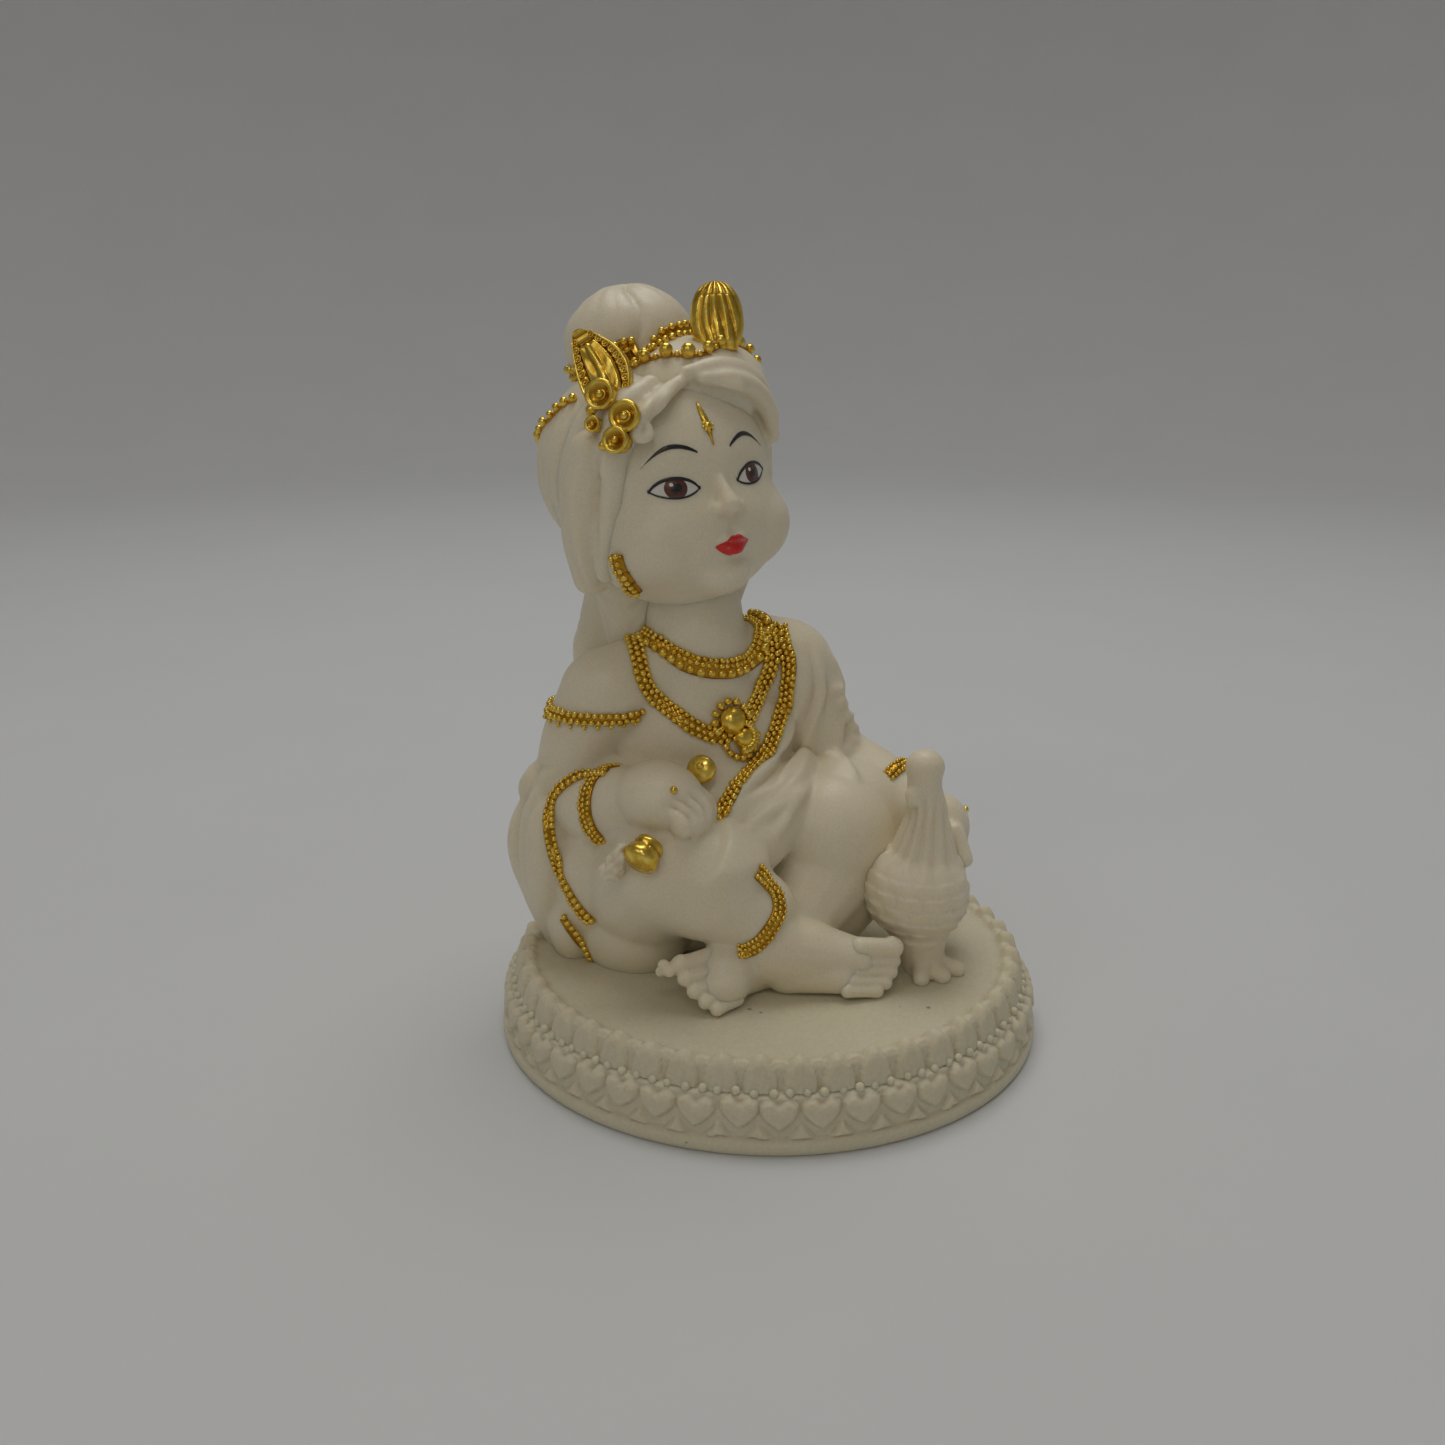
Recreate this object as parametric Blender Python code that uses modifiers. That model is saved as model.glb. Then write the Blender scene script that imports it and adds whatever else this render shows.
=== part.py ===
"""A seated child with a bird on a round lotus base, cast in one piece.

Lengths are in millimetres until they reach Blender. The figure faces -Y, so its right side is at -X.
"""

from math import cos, pi, radians, sin

import bmesh
import bpy
import numpy as np
from mathutils import Euler, Matrix, Vector
from mathutils.bvhtree import BVHTree

MM = 0.001

# Lotus base
BASE_RADIUS = 40.0
BASE_TOP = 10.8
EDGE_ROUND = 0.8
FOOT_BAND_HEIGHT = 2.6
PETALS = 46
COLUMNS_PER_PETAL = 4
LOWER_PETAL_TOP = 7.0
BEAD_ROW_HEIGHT = 7.8
UPPER_PETAL_FOOT = 8.6
TIP_RISE = 1.2
RIM_WIDTH = 2.2
FLARE = 3.1
PETAL_SWELL = 0.6
PETAL_STEP = 1.2

# Figure, from the base's top to the top of the bun
FIGURE_HEIGHT = 94.4
SINK = 1.0
# The figure is carved in units, and is 94.4 of them high
UNIT = FIGURE_HEIGHT / 94.4

# Shawl and jewellery
CLOTH_THICKNESS = 1.3
FOLD_HEIGHT = 0.9
FOLD_WIDTH = 1.3
BAND_RADIUS = 1.15
BEAD_CORD_RADIUS = 0.9

# Fineness of the solid
VOXEL = 0.75
FIGURE_FACES = 6000

STONE_COLOUR = (0.72, 0.66, 0.55, 1.0)
STONE_ROUGHNESS = 0.45


def frame(at, pitch=0.0, roll=0.0, yaw=0.0):
    """A frame of its own for a part of the figure, with its angles in degrees."""
    turn = Euler((radians(pitch), radians(roll), radians(yaw)), "XYZ").to_matrix().to_4x4()
    return Matrix.Translation(at) @ turn


FIGURE = frame((0, 0, 0))
HEAD = frame((-9.9, 13.8, 68.2), pitch=-6, roll=-6, yaw=6)
TORSO = frame((-6.5, 10.0, 0), yaw=-6)


# Building forms

def ball(at, radii, turn=(0, 0, 0), inside=FIGURE):
    """An ellipsoid with its turn in degrees."""
    bpy.ops.mesh.primitive_uv_sphere_add(segments=28, ring_count=14, radius=1)
    made = bpy.context.object
    made.matrix_world = Matrix.Scale(MM, 4) @ inside @ frame(at, *turn) @ Matrix.Diagonal((*radii, 1))
    return [made]


def limb(points, radii, inside=FIGURE):
    """A round form that swells and thins along a smooth line, with a ball in each end."""
    curve = bpy.data.curves.new("limb", "CURVE")
    curve.dimensions = "3D"
    curve.bevel_depth = 1
    curve.bevel_resolution = 4
    curve.resolution_u = 8
    curve.use_fill_caps = True
    spline = curve.splines.new("BEZIER")
    spline.bezier_points.add(len(points) - 1)
    for knot, point, radius in zip(spline.bezier_points, points, radii):
        knot.co = point
        knot.radius = radius
        knot.handle_left_type = "AUTO"
        knot.handle_right_type = "AUTO"
    made = bpy.data.objects.new("limb", curve)
    bpy.context.scene.collection.objects.link(made)
    made.matrix_world = Matrix.Scale(MM, 4) @ inside
    ends = ((points[0], radii[0]), (points[-1], radii[-1]))
    return [made] + [ball(point, [radius] * 3, inside=inside)[0] for point, radius in ends]


def both_sides(make):
    """What make builds for the figure's right side and for its left."""
    return make(-1) + make(1)


def settle(made):
    """Applies the object's modifiers."""
    bpy.context.view_layer.update()
    graph = bpy.context.evaluated_depsgraph_get()
    mesh = bpy.data.meshes.new_from_object(made.evaluated_get(graph))
    made.modifiers.clear()
    made.data = mesh


def fused(name, forms, smoothings):
    """The forms grown together into one closed skin, softened where they meet."""
    bpy.context.view_layer.update()
    graph = bpy.context.evaluated_depsgraph_get()
    points = []
    faces = []
    for form in forms:
        mesh = bpy.data.meshes.new_from_object(form.evaluated_get(graph))
        mesh.transform(form.matrix_world)
        first = len(points)
        points.extend(tuple(vertex.co) for vertex in mesh.vertices)
        faces.extend([first + corner for corner in face.vertices] for face in mesh.polygons)
    whole = bpy.data.meshes.new(name)
    whole.from_pydata(points, [], faces)
    made = bpy.data.objects.new(name, whole)
    bpy.context.scene.collection.objects.link(made)
    skin = made.modifiers.new("skin", "REMESH")
    skin.mode = "VOXEL"
    skin.voxel_size = VOXEL / UNIT * MM
    soften = made.modifiers.new("soften", "SMOOTH")
    soften.factor = 0.5
    soften.iterations = smoothings
    settle(made)
    for form in forms:
        bpy.data.objects.remove(form)
    return made


# Carving on a skin

def skin_of(made):
    """The skin's points and outward directions, in units."""
    count = len(made.data.vertices)
    points = np.empty(count * 3, np.float32)
    normals = np.empty(count * 3, np.float32)
    made.data.vertices.foreach_get("co", points)
    made.data.vertices.foreach_get("normal", normals)
    return points.reshape(-1, 3).astype(float) / MM, normals.reshape(-1, 3).astype(float)


def move_skin(made, points):
    made.data.vertices.foreach_set("co", (points * MM).astype(np.float32).ravel())
    made.data.update()


def rounded_path(knots, step=1.0):
    """Points about a step apart on a smooth line through the knots."""
    knots = np.array(knots, float)
    before = np.vstack([2 * knots[0] - knots[1], knots[:-1]])
    after = np.vstack([knots[1:], 2 * knots[-1] - knots[-2]])
    slopes = (after - before) / 2
    path = []
    for i in range(len(knots) - 1):
        count = max(2, round(float(np.linalg.norm(knots[i + 1] - knots[i])) / step))
        t = np.arange(count)[:, None] / count
        path.append(
            (2 * t**3 - 3 * t**2 + 1) * knots[i]
            + (t**3 - 2 * t**2 + t) * slopes[i]
            + (3 * t**2 - 2 * t**3) * knots[i + 1]
            + (t**3 - t**2) * slopes[i + 1]
        )
    return np.vstack(path + [knots[-1:]])


def ridge(made, knots, height, width):
    """Raises a soft ridge on the skin along a line, or sinks a groove where the height is negative."""
    points, normals = skin_of(made)
    path = rounded_path(knots)
    nearest = np.full(len(points), 1e9)
    for at in path:
        nearest = np.minimum(nearest, ((points - at) ** 2).sum(axis=1))
    fade = np.exp(-nearest / width**2)
    move_skin(made, points + normals * (height * fade)[:, None])


def laid_on(made, knots):
    """The smooth line through the knots, brought onto the skin."""
    tree = BVHTree.FromPolygons(
        [vertex.co / MM for vertex in made.data.vertices],
        [tuple(face.vertices) for face in made.data.polygons],
    )
    return [tree.find_nearest(Vector(at))[0] for at in rounded_path(knots)]


def band(made, knots, radius):
    """A raised round band that lies on the skin."""
    path = laid_on(made, knots)[::2]
    return limb(path, [radius] * len(path))


# Body

def trunk():
    forms = ball((0, 2, 7), (18, 14.5, 10.5), inside=TORSO)
    forms += ball((0, -4.5, 19), (13.5, 12, 13), inside=TORSO)
    forms += ball((0, 0, 31), (14, 10, 12), inside=TORSO)
    forms += limb([(0.4, 0, 38), (-0.6, 1, 50)], [8, 7.4], inside=TORSO)
    shoulders = [(-14.2, 1, 38.8), (-7, 1, 41), (0, 1, 42), (7, 1, 41.6), (14, 1, 39.6)]
    forms += limb(shoulders, [6.6, 6.2, 6, 6.2, 6.8], inside=TORSO)
    return forms


def arms():
    forms = limb([(-20, 12.3, 39), (-23.4, 13.6, 33), (-25.4, 13.2, 26)], [6.8, 6, 5.8])
    forms += limb([(-25, 13, 25.5), (-24.5, 8, 23.5), (-22, 2.5, 25.5)], [5.8, 5.6, 5.2])
    forms += limb([(7.4, 9, 39), (10.6, 8.5, 33), (14, 6.5, 26.4)], [6.6, 6.2, 6])
    forms += limb([(14, 6.5, 25.6), (18.8, 0.5, 23), (22, -6.5, 19.6)], [5.6, 5, 4.4])
    return forms


def legs():
    forms = limb([(-14, 12, 8), (-18, 4, 12), (-17.6, -3, 17)], [10, 9.8, 9.2])
    forms += limb([(-17.6, -3, 17), (-12, -8, 14), (-6.6, -12.2, 9.4)], [9.2, 8.2, 6])
    forms += limb([(2, 10, 8), (8, 4, 13), (12.4, -1.2, 18.8)], [10, 9.6, 8.8])
    forms += limb([(12.4, -1.6, 18.8), (8.4, -4, 10.5), (2, -6, 4.5)], [8.8, 9.2, 7])
    return forms


RIGHT_FINGERS = (
    ((-14.8, -3, 29.2), (-12.4, -5, 26), (-13.2, -7.4, 22.6)),
    ((-16.4, -4.6, 29), (-14.2, -7, 25.4), (-15, -9, 21.8)),
    ((-18.4, -6, 28.2), (-16.6, -8.8, 24.8), (-17.4, -10.6, 21.2)),
    ((-20.4, -7, 27), (-19.2, -9.8, 24), (-19.8, -11.4, 21)),
)


def right_hand():
    forms = ball((-18.8, -2.4, 27.4), (6.4, 7.2, 5), turn=(0, 12, -30))
    for finger in RIGHT_FINGERS:
        forms += limb(finger, [2.3, 2, 1.7])
    return forms


def left_hand():
    forms = ball((23.2, -10.5, 18.4), (4.4, 5, 5))
    for i in range(4):
        knuckle = Vector((25.2 - 1.2 * i, -11.4 - 1.6 * i, 17.8 + 0.6 * i))
        forms += limb([knuckle, knuckle + Vector((0.4, -2.4, -3.6))], [1.8, 1.4])
    return forms


def toes(big, little, ahead, big_radius):
    """Five toes in a row from the big one to the little one."""
    forms = []
    for i in range(5):
        root = Vector(big).lerp(Vector(little), (i / 4) ** 0.9)
        radius = big_radius * (1 if i == 0 else 0.84 - 0.06 * i)
        reach = Vector(ahead) * (1 if i == 0 else 0.98 - 0.1 * i)
        line = [root - Vector(ahead), root, root + reach * 0.4]
        forms += limb(line, [radius, radius, radius * 0.92])
    return forms


def feet():
    forms = limb([(-7.6, -12, 4), (-1.4, -15.6, 4.6), (4.4, -19, 4.2)], [5.4, 5.2, 4.2])
    forms += limb([(-5, -14.4, 3.4), (0.8, -21.6, 2)], [3.8, 3.2])
    forms += toes((8.2, -18.8, 6.2), (1.2, -24.2, 1.8), (2.4, -2.2, 0.1), 2.1)
    forms += limb([(2, -6, 4.5), (-7, -9.5, 3.6), (-15, -12.4, 3.6)], [6, 4.8, 4.2])
    forms += toes((-18.8, -9.2, 5.6), (-16.6, -17.0, 1.8), (-2.4, -1.2, 0), 2.0)
    return forms


# Head

def skull():
    forms = ball((0, 1.5, 1.5), (15.8, 16.5, 16), inside=HEAD)
    forms += ball((0, -4, -5.5), (14.8, 12, 11.5), inside=HEAD)
    forms += both_sides(lambda side: ball((side * 6.6, -7.8, -6.8), (7.6, 6.8, 6.6), inside=HEAD))
    forms += ball((0, -12, -12), (4.4, 3.6, 3.4), inside=HEAD)
    return forms


def features():
    """A small nose, lips and ears of plain proportions."""
    forms = limb([(0, -14.2, 3), (0, -16.2, -1.6)], [1.3, 2.0], inside=HEAD)
    forms += ball((0, -15, -7), (2.8, 1.6, 1.4), inside=HEAD)
    forms += both_sides(lambda side: ball((side * 15.2, 1.5, -4.5), (1.8, 2.6, 4), inside=HEAD))
    return forms


# Locks of hair that fall down the back, as the places of each one's middle
LOCKS = (
    ((-13, 19, 66), (-12.6, 20.6, 59), (-13.4, 22.6, 50), (-14.8, 24, 41), (-13, 24, 31)),
    ((-8, 20, 66), (-7.4, 21.6, 57), (-8, 24, 47), (-7, 25.4, 38), (-8, 24.6, 28)),
    ((-4, 18, 66), (-2.6, 19.4, 57), (-2, 21.6, 48), (-3, 23.4, 39), (-2, 23, 31)),
)


def hair():
    forms = ball((1, 4, 3), (16.8, 16.4, 15.4), inside=HEAD)
    forms += ball((5.4, -2.2, 9.6), (11.6, 10.2, 10), inside=HEAD)
    for lock in LOCKS:
        forms += limb(lock, [9, 7.2, 5.4, 5.4, 3])
    forms += limb([(-14.8, -3, 2), (-12.4, -8.4, 7.8), (-6, -11.4, 11.4)], [2.2, 2.4, 2.2], inside=HEAD)
    fringe = [(-1, -11.4, 12.6), (6, -11.2, 11), (12, -8, 7.4), (15.2, -2, 1)]
    forms += limb(fringe, [2.2, 2.6, 2.6, 2.2], inside=HEAD)
    forms += limb([(-15, 1, 5), (-15, 2.6, -4), (-12.6, 4.6, -12.4)], [3, 2.8, 2], inside=HEAD)
    forms += limb([(15.4, 1, 4), (15.2, 3, -4), (13, 5, -12)], [3, 2.8, 2], inside=HEAD)
    forms += ball((2.6, 8.2, 20.4), (9.8, 9.6, 7.9), inside=HEAD)
    return forms


def crown():
    """The two gold leaves at the brow of the bun and the cluster of cups below the right one."""
    forms = ball((-22.6, 7.8, 84.6), (4, 1.2, 6.2), turn=(-20, -10, -38))
    forms += ball((-22.6, 2.8, 77.6), (2.5, 1.6, 3), turn=(0, 0, -44))
    forms += ball((-3.8, 9.8, 91.2), (4.1, 1.5, 5.2), turn=(-8, 4, 4))
    return forms


# Dress

# Heights, and how far to the left of the spine the shawl's edge is at each
SHAWL_FRONT_EDGE = (
    (10, 18, 24, 27, 29.3, 33.3, 37.5, 43.4, 47),
    (-14, -9, -3.4, 0, 5.1, 9, 11.1, 11.8, 10),
)
SHAWL_BACK_EDGE = ((8, 20, 34, 47), (-16, -6, 4, 9))


def drape(body):
    """Lays the shawl over the left shoulder and round to the right hip."""
    points, normals = skin_of(body)
    local = (points - np.array(TORSO.translation)) @ np.array(TORSO.to_3x3())
    front = np.interp(local[:, 2], *SHAWL_FRONT_EDGE)
    back = np.interp(local[:, 2], *SHAWL_BACK_EDGE)
    side = np.clip(local[:, 1] / 6 + 0.5, 0, 1)
    past_edge = local[:, 0] - (front * (1 - side) + back * side)
    above_lap = np.minimum(local[:, 2] - 17, local[:, 2] - 27 + 4 * (20 - local[:, 0]))
    cover = np.clip(past_edge / 0.8, 0, 1) * np.clip(above_lap / 2, 0, 1)
    move_skin(body, points + normals * (CLOTH_THICKNESS / UNIT * cover)[:, None])


FOLDS = (
    ((6.8, 4, 45), (7.7, 1.1, 38.5), (5.6, 0.4, 32.1), (-1, -3, 27.4), (-8.2, -5, 22.6)),
    ((9, 3, 44), (11, 1.2, 34.9), (8.6, -1, 29.7), (0.5, -5, 24.6), (-6, -7, 20)),
    ((12, 4, 43), (13.6, 1.8, 35), (10.6, -1, 29.6), (4.6, -3.6, 26.4)),
    ((15, 5, 40), (15.6, 3, 33.5), (13, 0, 29)),
)


def hanging_cloth():
    """The shawl's end, rolled round the right elbow and hanging to the base."""
    forms = limb([(-18.6, 5.4, 27.8), (-23.6, 10.6, 27.2), (-27.8, 16, 24.6)], [2.4, 3.4, 4.6])
    forms += ball((-28.4, 15.4, 15.6), (4.8, 8.4, 12), turn=(0, 0, -30))
    forms += ball((-25.4, 13.6, 6), (4.6, 8, 9), turn=(0, 0, -30))
    forms += ball((-24.6, 8.4, 13), (5.6, 6.4, 9.6), turn=(0, 0, -30))
    fall = [(-27.4, 18.2, 22), (-29.8, 18.2, 16), (-28.6, 17.2, 9), (-25, 16, -1)]
    forms += limb(fall, [4.4, 4.4, 4.2, 4])
    forms += ball((-19, 8, 5), (8.6, 11, 9))
    return forms


def lap_cloth():
    return limb([(4.6, -3, 24.6), (-1, -7.6, 20), (-7, -9.4, 15.4)], [1.8, 2.6, 2.6])


NECKLACE = (
    (-7, 19.6, 47.6), (-12.5, 18.4, 47), (-14.8, 13.6, 46.6), (-13.7, 7.9, 46.1),
    (-10.5, 4.8, 43.9), (-5.7, 3.7, 42.7), (-1.1, 4.6, 43.1), (1.6, 5.4, 45.2),
    (3.1, 7.8, 47.7), (2.6, 13, 48.4), (-1, 18, 48), (-7, 19.6, 47.6),
)
LONG_NECKLACE = (
    (-16, 12, 46.6), (-17.3, 6.4, 42.6), (-15.5, 5, 39.1), (-10.7, 1.4, 34.8), (-6, 0.5, 33.9),
    (-1.8, 1.9, 36.9), (1, 3.6, 39.6), (2.4, 3.9, 43), (3.4, 7, 46.6),
)
SHAWL_BORDER = (
    (5, 6.4, 47), (4.4, 2.6, 42.6), (3.8, 2.2, 37.5), (1.7, 1.2, 33.3),
    (-2.5, -1.6, 29), (-8, -4.4, 26.2), (-12.4, -6, 24.4),
)
CLOTH_EDGE = (
    (-24.1, 6.5, 29.4), (-27.5, 7.6, 28.4), (-29.9, 9.3, 26.2), (-31.3, 9.2, 22.2),
    (-31.6, 8, 17.8), (-30.1, 8.3, 11.8), (-27.9, 6.8, 9.1), (-26.8, 3.7, 8.2),
)
LOW_CLOTH_EDGE = ((-29.8, 7.1, 6.8), (-28.6, 6.6, 4.7), (-27.1, 6.6, 2.5), (-26.5, 3.3, 1.4))
# Each ring's middle, the way that its limb runs, and its radius
LIMB_RINGS = (
    ((-22, 13, 36.6), (-0.25, 0.1, -1), 6.6),
    ((-23.2, 4.6, 24.8), (0.35, -0.9, 0.25), 5.4),
    ((-8.8, -10.6, 11), (0.68, -0.57, -0.47), 6.8),
    ((20.4, -2.4, 23.2), (0.4, -0.84, -0.42), 4.9),
)


def ring(middle, axis, radius, count=16):
    """Knots of a closed ring round a limb."""
    turn = Vector(axis).to_track_quat("Z", "Y")
    turns = [2 * pi * i / count for i in range(count + 1)]
    return [Vector(middle) + turn @ Vector((radius * cos(t), radius * sin(t), 0)) for t in turns]


def jewellery(body):
    radius = BAND_RADIUS / UNIT
    forms = []
    for line in (NECKLACE, LONG_NECKLACE, SHAWL_BORDER):
        forms += band(body, line, radius)
    for middle, axis, reach in LIMB_RINGS:
        forms += band(body, ring(middle, axis, reach), radius)
    for line in (CLOTH_EDGE, LOW_CLOTH_EDGE):
        forms += limb(line, [radius] * len(line))
    return forms


def head_beads():
    """The round of beads on the hair and the one below the bun."""
    turns = [2 * pi * i / 16 for i in range(17)]
    round_head = [(1 + 16.6 * sin(t), 6 - 12.6 * cos(t), 9.4 + 5.6 * cos(t)) for t in turns]
    round_bun = [(1 + 9.4 * sin(t), 8.6 - 9.2 * cos(t), 16.8 + 1.2 * cos(t)) for t in turns]
    radii = [BEAD_CORD_RADIUS / UNIT] * len(turns)
    forms = limb(round_head, radii, inside=HEAD)
    forms += limb(round_bun, radii, inside=HEAD)
    return forms


def flute():
    near = Vector((-25.4, -9.4, 21.6))
    far = Vector((-10.3, 1.3, 28.3))
    forms = limb([near, far], [1.9, 1.9])
    forms += limb([near + (far - near) * 0.02, near + (far - near) * 0.14], [2.6, 2.6])
    forms += limb([near + (far - near) * 0.92, far], [2.3, 2.3])
    return forms


# Bird

def bird():
    forms = ball((15.2, -16.2, 12.2), (6.6, 8, 7.8))
    forms += limb([(15.6, -17, 15), (16.8, -16.8, 22), (15.4, -17, 31)], [5.4, 3.2, 2.7])
    forms += limb([(17.4, -15, 26.6), (17.8, -15.6, 24)], [1.8, 1.8])
    forms += limb([(20, -12, 13), (23.4, -12.6, 9.6)], [5, 3.2])
    forms += limb([(15.2, -17.6, 6), (15.4, -18.4, 0)], [4.2, 2.6])
    for spread in (-1, 0, 1):
        claw = (15.6 + 3.4 * spread, -21.6 - 0.8 * (1 - abs(spread)), 0.4)
        forms += limb([(15.4, -18.4, 0.6), claw], [1.5, 1.0])
    return forms


# Whole

def figure():
    body = fused("body", trunk() + arms() + legs(), 6)
    drape(body)
    for fold in FOLDS:
        ridge(body, fold, FOLD_HEIGHT / UNIT, FOLD_WIDTH / UNIT)
    trimmings = jewellery(body)
    head = fused("head", skull(), 4)
    forms = right_hand() + left_hand() + feet() + features() + hair() + crown() + head_beads()
    forms += hanging_cloth() + lap_cloth() + flute() + bird()
    whole = fused("figure", [body, head] + trimmings + forms, 2)
    thin_out = whole.modifiers.new("thin out", "DECIMATE")
    thin_out.ratio = FIGURE_FACES / (2 * len(whole.data.polygons))
    settle(whole)
    whole.scale = [UNIT] * 3
    whole.location.z = BASE_TOP * MM
    return whole


def petal_shape(turn):
    """How far out a petal swells at a share of a petal's width, 1 in its middle and 0 between two."""
    return sin(pi * (turn % 1)) ** 0.7


def base_rings():
    """The base's outline, ring by ring from the underside to the rim's inner foot."""
    columns = PETALS * COLUMNS_PER_PETAL
    wall = BASE_RADIUS - FLARE
    rings = []
    for row in range(10):
        ring = []
        for i in range(columns):
            upper = petal_shape(i / COLUMNS_PER_PETAL)
            lower = petal_shape(i / COLUMNS_PER_PETAL + 0.5)
            tip = BASE_TOP + TIP_RISE * upper
            lower_foot = FOOT_BAND_HEIGHT + TIP_RISE * (1.2 - 0.7 * lower)
            radius, height = (
                (BASE_RADIUS - EDGE_ROUND, 0),
                (BASE_RADIUS, EDGE_ROUND),
                (BASE_RADIUS - EDGE_ROUND / 2, FOOT_BAND_HEIGHT),
                (wall + PETAL_STEP + PETAL_SWELL * lower, lower_foot),
                (wall + PETAL_STEP + PETAL_SWELL * lower, LOWER_PETAL_TOP),
                (wall + PETAL_STEP * 0.8, BEAD_ROW_HEIGHT),
                (wall + PETAL_STEP / 3 + PETAL_SWELL * upper, UPPER_PETAL_FOOT),
                (wall - PETAL_STEP / 4 + PETAL_SWELL * upper, tip - TIP_RISE * 0.4),
                (wall - PETAL_STEP * 0.75 + PETAL_SWELL / 2 * upper, tip),
                (wall - RIM_WIDTH, BASE_TOP),
            )[row]
            angle = 2 * pi * i / columns
            ring.append(Vector((radius * cos(angle), radius * sin(angle), height)) * MM)
        rings.append(ring)
    return rings


def base():
    """The turned base with its petals, closed by a flat underside and a flat top."""
    shape = bmesh.new()
    rings = [[shape.verts.new(point) for point in ring] for ring in base_rings()]
    for low, high in zip(rings, rings[1:]):
        for i in range(len(low)):
            shape.faces.new((low[i - 1], low[i], high[i], high[i - 1]))
    shape.faces.new(reversed(rings[0]))
    shape.faces.new(rings[-1])
    mesh = bpy.data.meshes.new("base")
    shape.to_mesh(mesh)
    shape.free()
    made = bpy.data.objects.new("base", mesh)
    bpy.context.scene.collection.objects.link(made)
    return made


def cut_level(made, height):
    """Cuts off what lies below a height above the ground and closes the cut."""
    made.data.transform(made.matrix_basis)
    made.matrix_basis = Matrix.Identity(4)
    shape = bmesh.new()
    shape.from_mesh(made.data)
    everything = shape.verts[:] + shape.edges[:] + shape.faces[:]
    cut = bmesh.ops.bisect_plane(
        shape, geom=everything, plane_co=(0, 0, height * MM), plane_no=(0, 0, 1), clear_inner=True
    )
    rim = [part for part in cut["geom_cut"] if isinstance(part, bmesh.types.BMEdge)]
    bmesh.ops.holes_fill(shape, edges=rim)
    bmesh.ops.recalc_face_normals(shape, faces=shape.faces[:])
    shape.to_mesh(made.data)
    shape.free()


def stone():
    material = bpy.data.materials.new("marble_resin")
    material.use_nodes = True
    surface = material.node_tree.nodes["Principled BSDF"]
    surface.inputs["Base Color"].default_value = STONE_COLOUR
    surface.inputs["Roughness"].default_value = STONE_ROUGHNESS
    return material


def main():
    for leftover in list(bpy.data.objects):
        bpy.data.objects.remove(leftover)
    carved = figure()
    cut_level(carved, BASE_TOP - SINK)
    whole = base()
    join = whole.modifiers.new("figure", "BOOLEAN")
    join.operation = "UNION"
    join.solver = "EXACT"
    join.object = carved
    settle(whole)
    bpy.data.objects.remove(carved)
    whole.name = "baby_krishna_figurine"
    whole.data.name = whole.name
    whole.data.materials.clear()
    whole.data.materials.append(stone())
    home = bpy.data.collections.new("seated_child_figurine")
    bpy.context.scene.collection.children.link(home)
    bpy.context.scene.collection.objects.unlink(whole)
    home.objects.link(whole)
    bpy.context.view_layer.update()


main()
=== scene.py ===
"""A seated child with a bird on a round lotus base, dressed for its render.

Lengths are in millimetres until a piece is published, and heights are from the base's top,
apart from the base's own. The figure faces -Y, so its right side is at -X.
"""

from math import cos, pi, radians, sin, sqrt

import bpy
import numpy as np
from mathutils import Euler, Matrix, Vector
from mathutils.bvhtree import BVHTree


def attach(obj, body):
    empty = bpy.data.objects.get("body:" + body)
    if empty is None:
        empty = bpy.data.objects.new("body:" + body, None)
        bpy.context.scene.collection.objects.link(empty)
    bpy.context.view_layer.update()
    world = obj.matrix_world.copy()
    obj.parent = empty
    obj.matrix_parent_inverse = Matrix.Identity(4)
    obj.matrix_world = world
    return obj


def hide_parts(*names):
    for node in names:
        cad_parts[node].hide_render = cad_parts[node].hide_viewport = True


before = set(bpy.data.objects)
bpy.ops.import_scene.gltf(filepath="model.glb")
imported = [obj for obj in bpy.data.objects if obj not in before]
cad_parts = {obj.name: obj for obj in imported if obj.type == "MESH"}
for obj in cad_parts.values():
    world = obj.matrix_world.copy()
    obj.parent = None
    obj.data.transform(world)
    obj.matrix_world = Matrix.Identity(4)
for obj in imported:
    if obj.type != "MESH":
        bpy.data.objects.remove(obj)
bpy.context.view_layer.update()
NODE = "baby_krishna_figurine"
MM = 0.001
BASE_TOP = 10.8
LIFT = Matrix.Translation((0, 0, BASE_TOP * MM))
SEED = 11
rng = np.random.default_rng(SEED)


def frame(at, pitch=0.0, roll=0.0, yaw=0.0):
    """A frame of its own for a part of the figure, with its angles in degrees."""
    turn = Euler((radians(pitch), radians(roll), radians(yaw)), "XYZ").to_matrix().to_4x4()
    return Matrix.Translation(at) @ turn


def add_object(name, data):
    made = bpy.data.objects.new(name, data)
    bpy.context.scene.collection.objects.link(made)
    return made


FIGURE = frame((0, 0, 0))
HEAD = frame((-9.9, 13.8, 68.2), pitch=-6, roll=-6, yaw=6)
TORSO = frame((-6.5, 10.0, 0), yaw=-6)


# Camera, at the photograph's place

CAMERA_DISTANCE = 0.219
CAMERA_AZIMUTH = radians(-30)
CAMERA_ELEVATION = radians(28.07)
LOOK_DOWN = radians(16.56)
LOOK_TURN = radians(2.04)
IMAGE_SIDE = 1445
FOCAL_PIXELS = 1390


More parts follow.
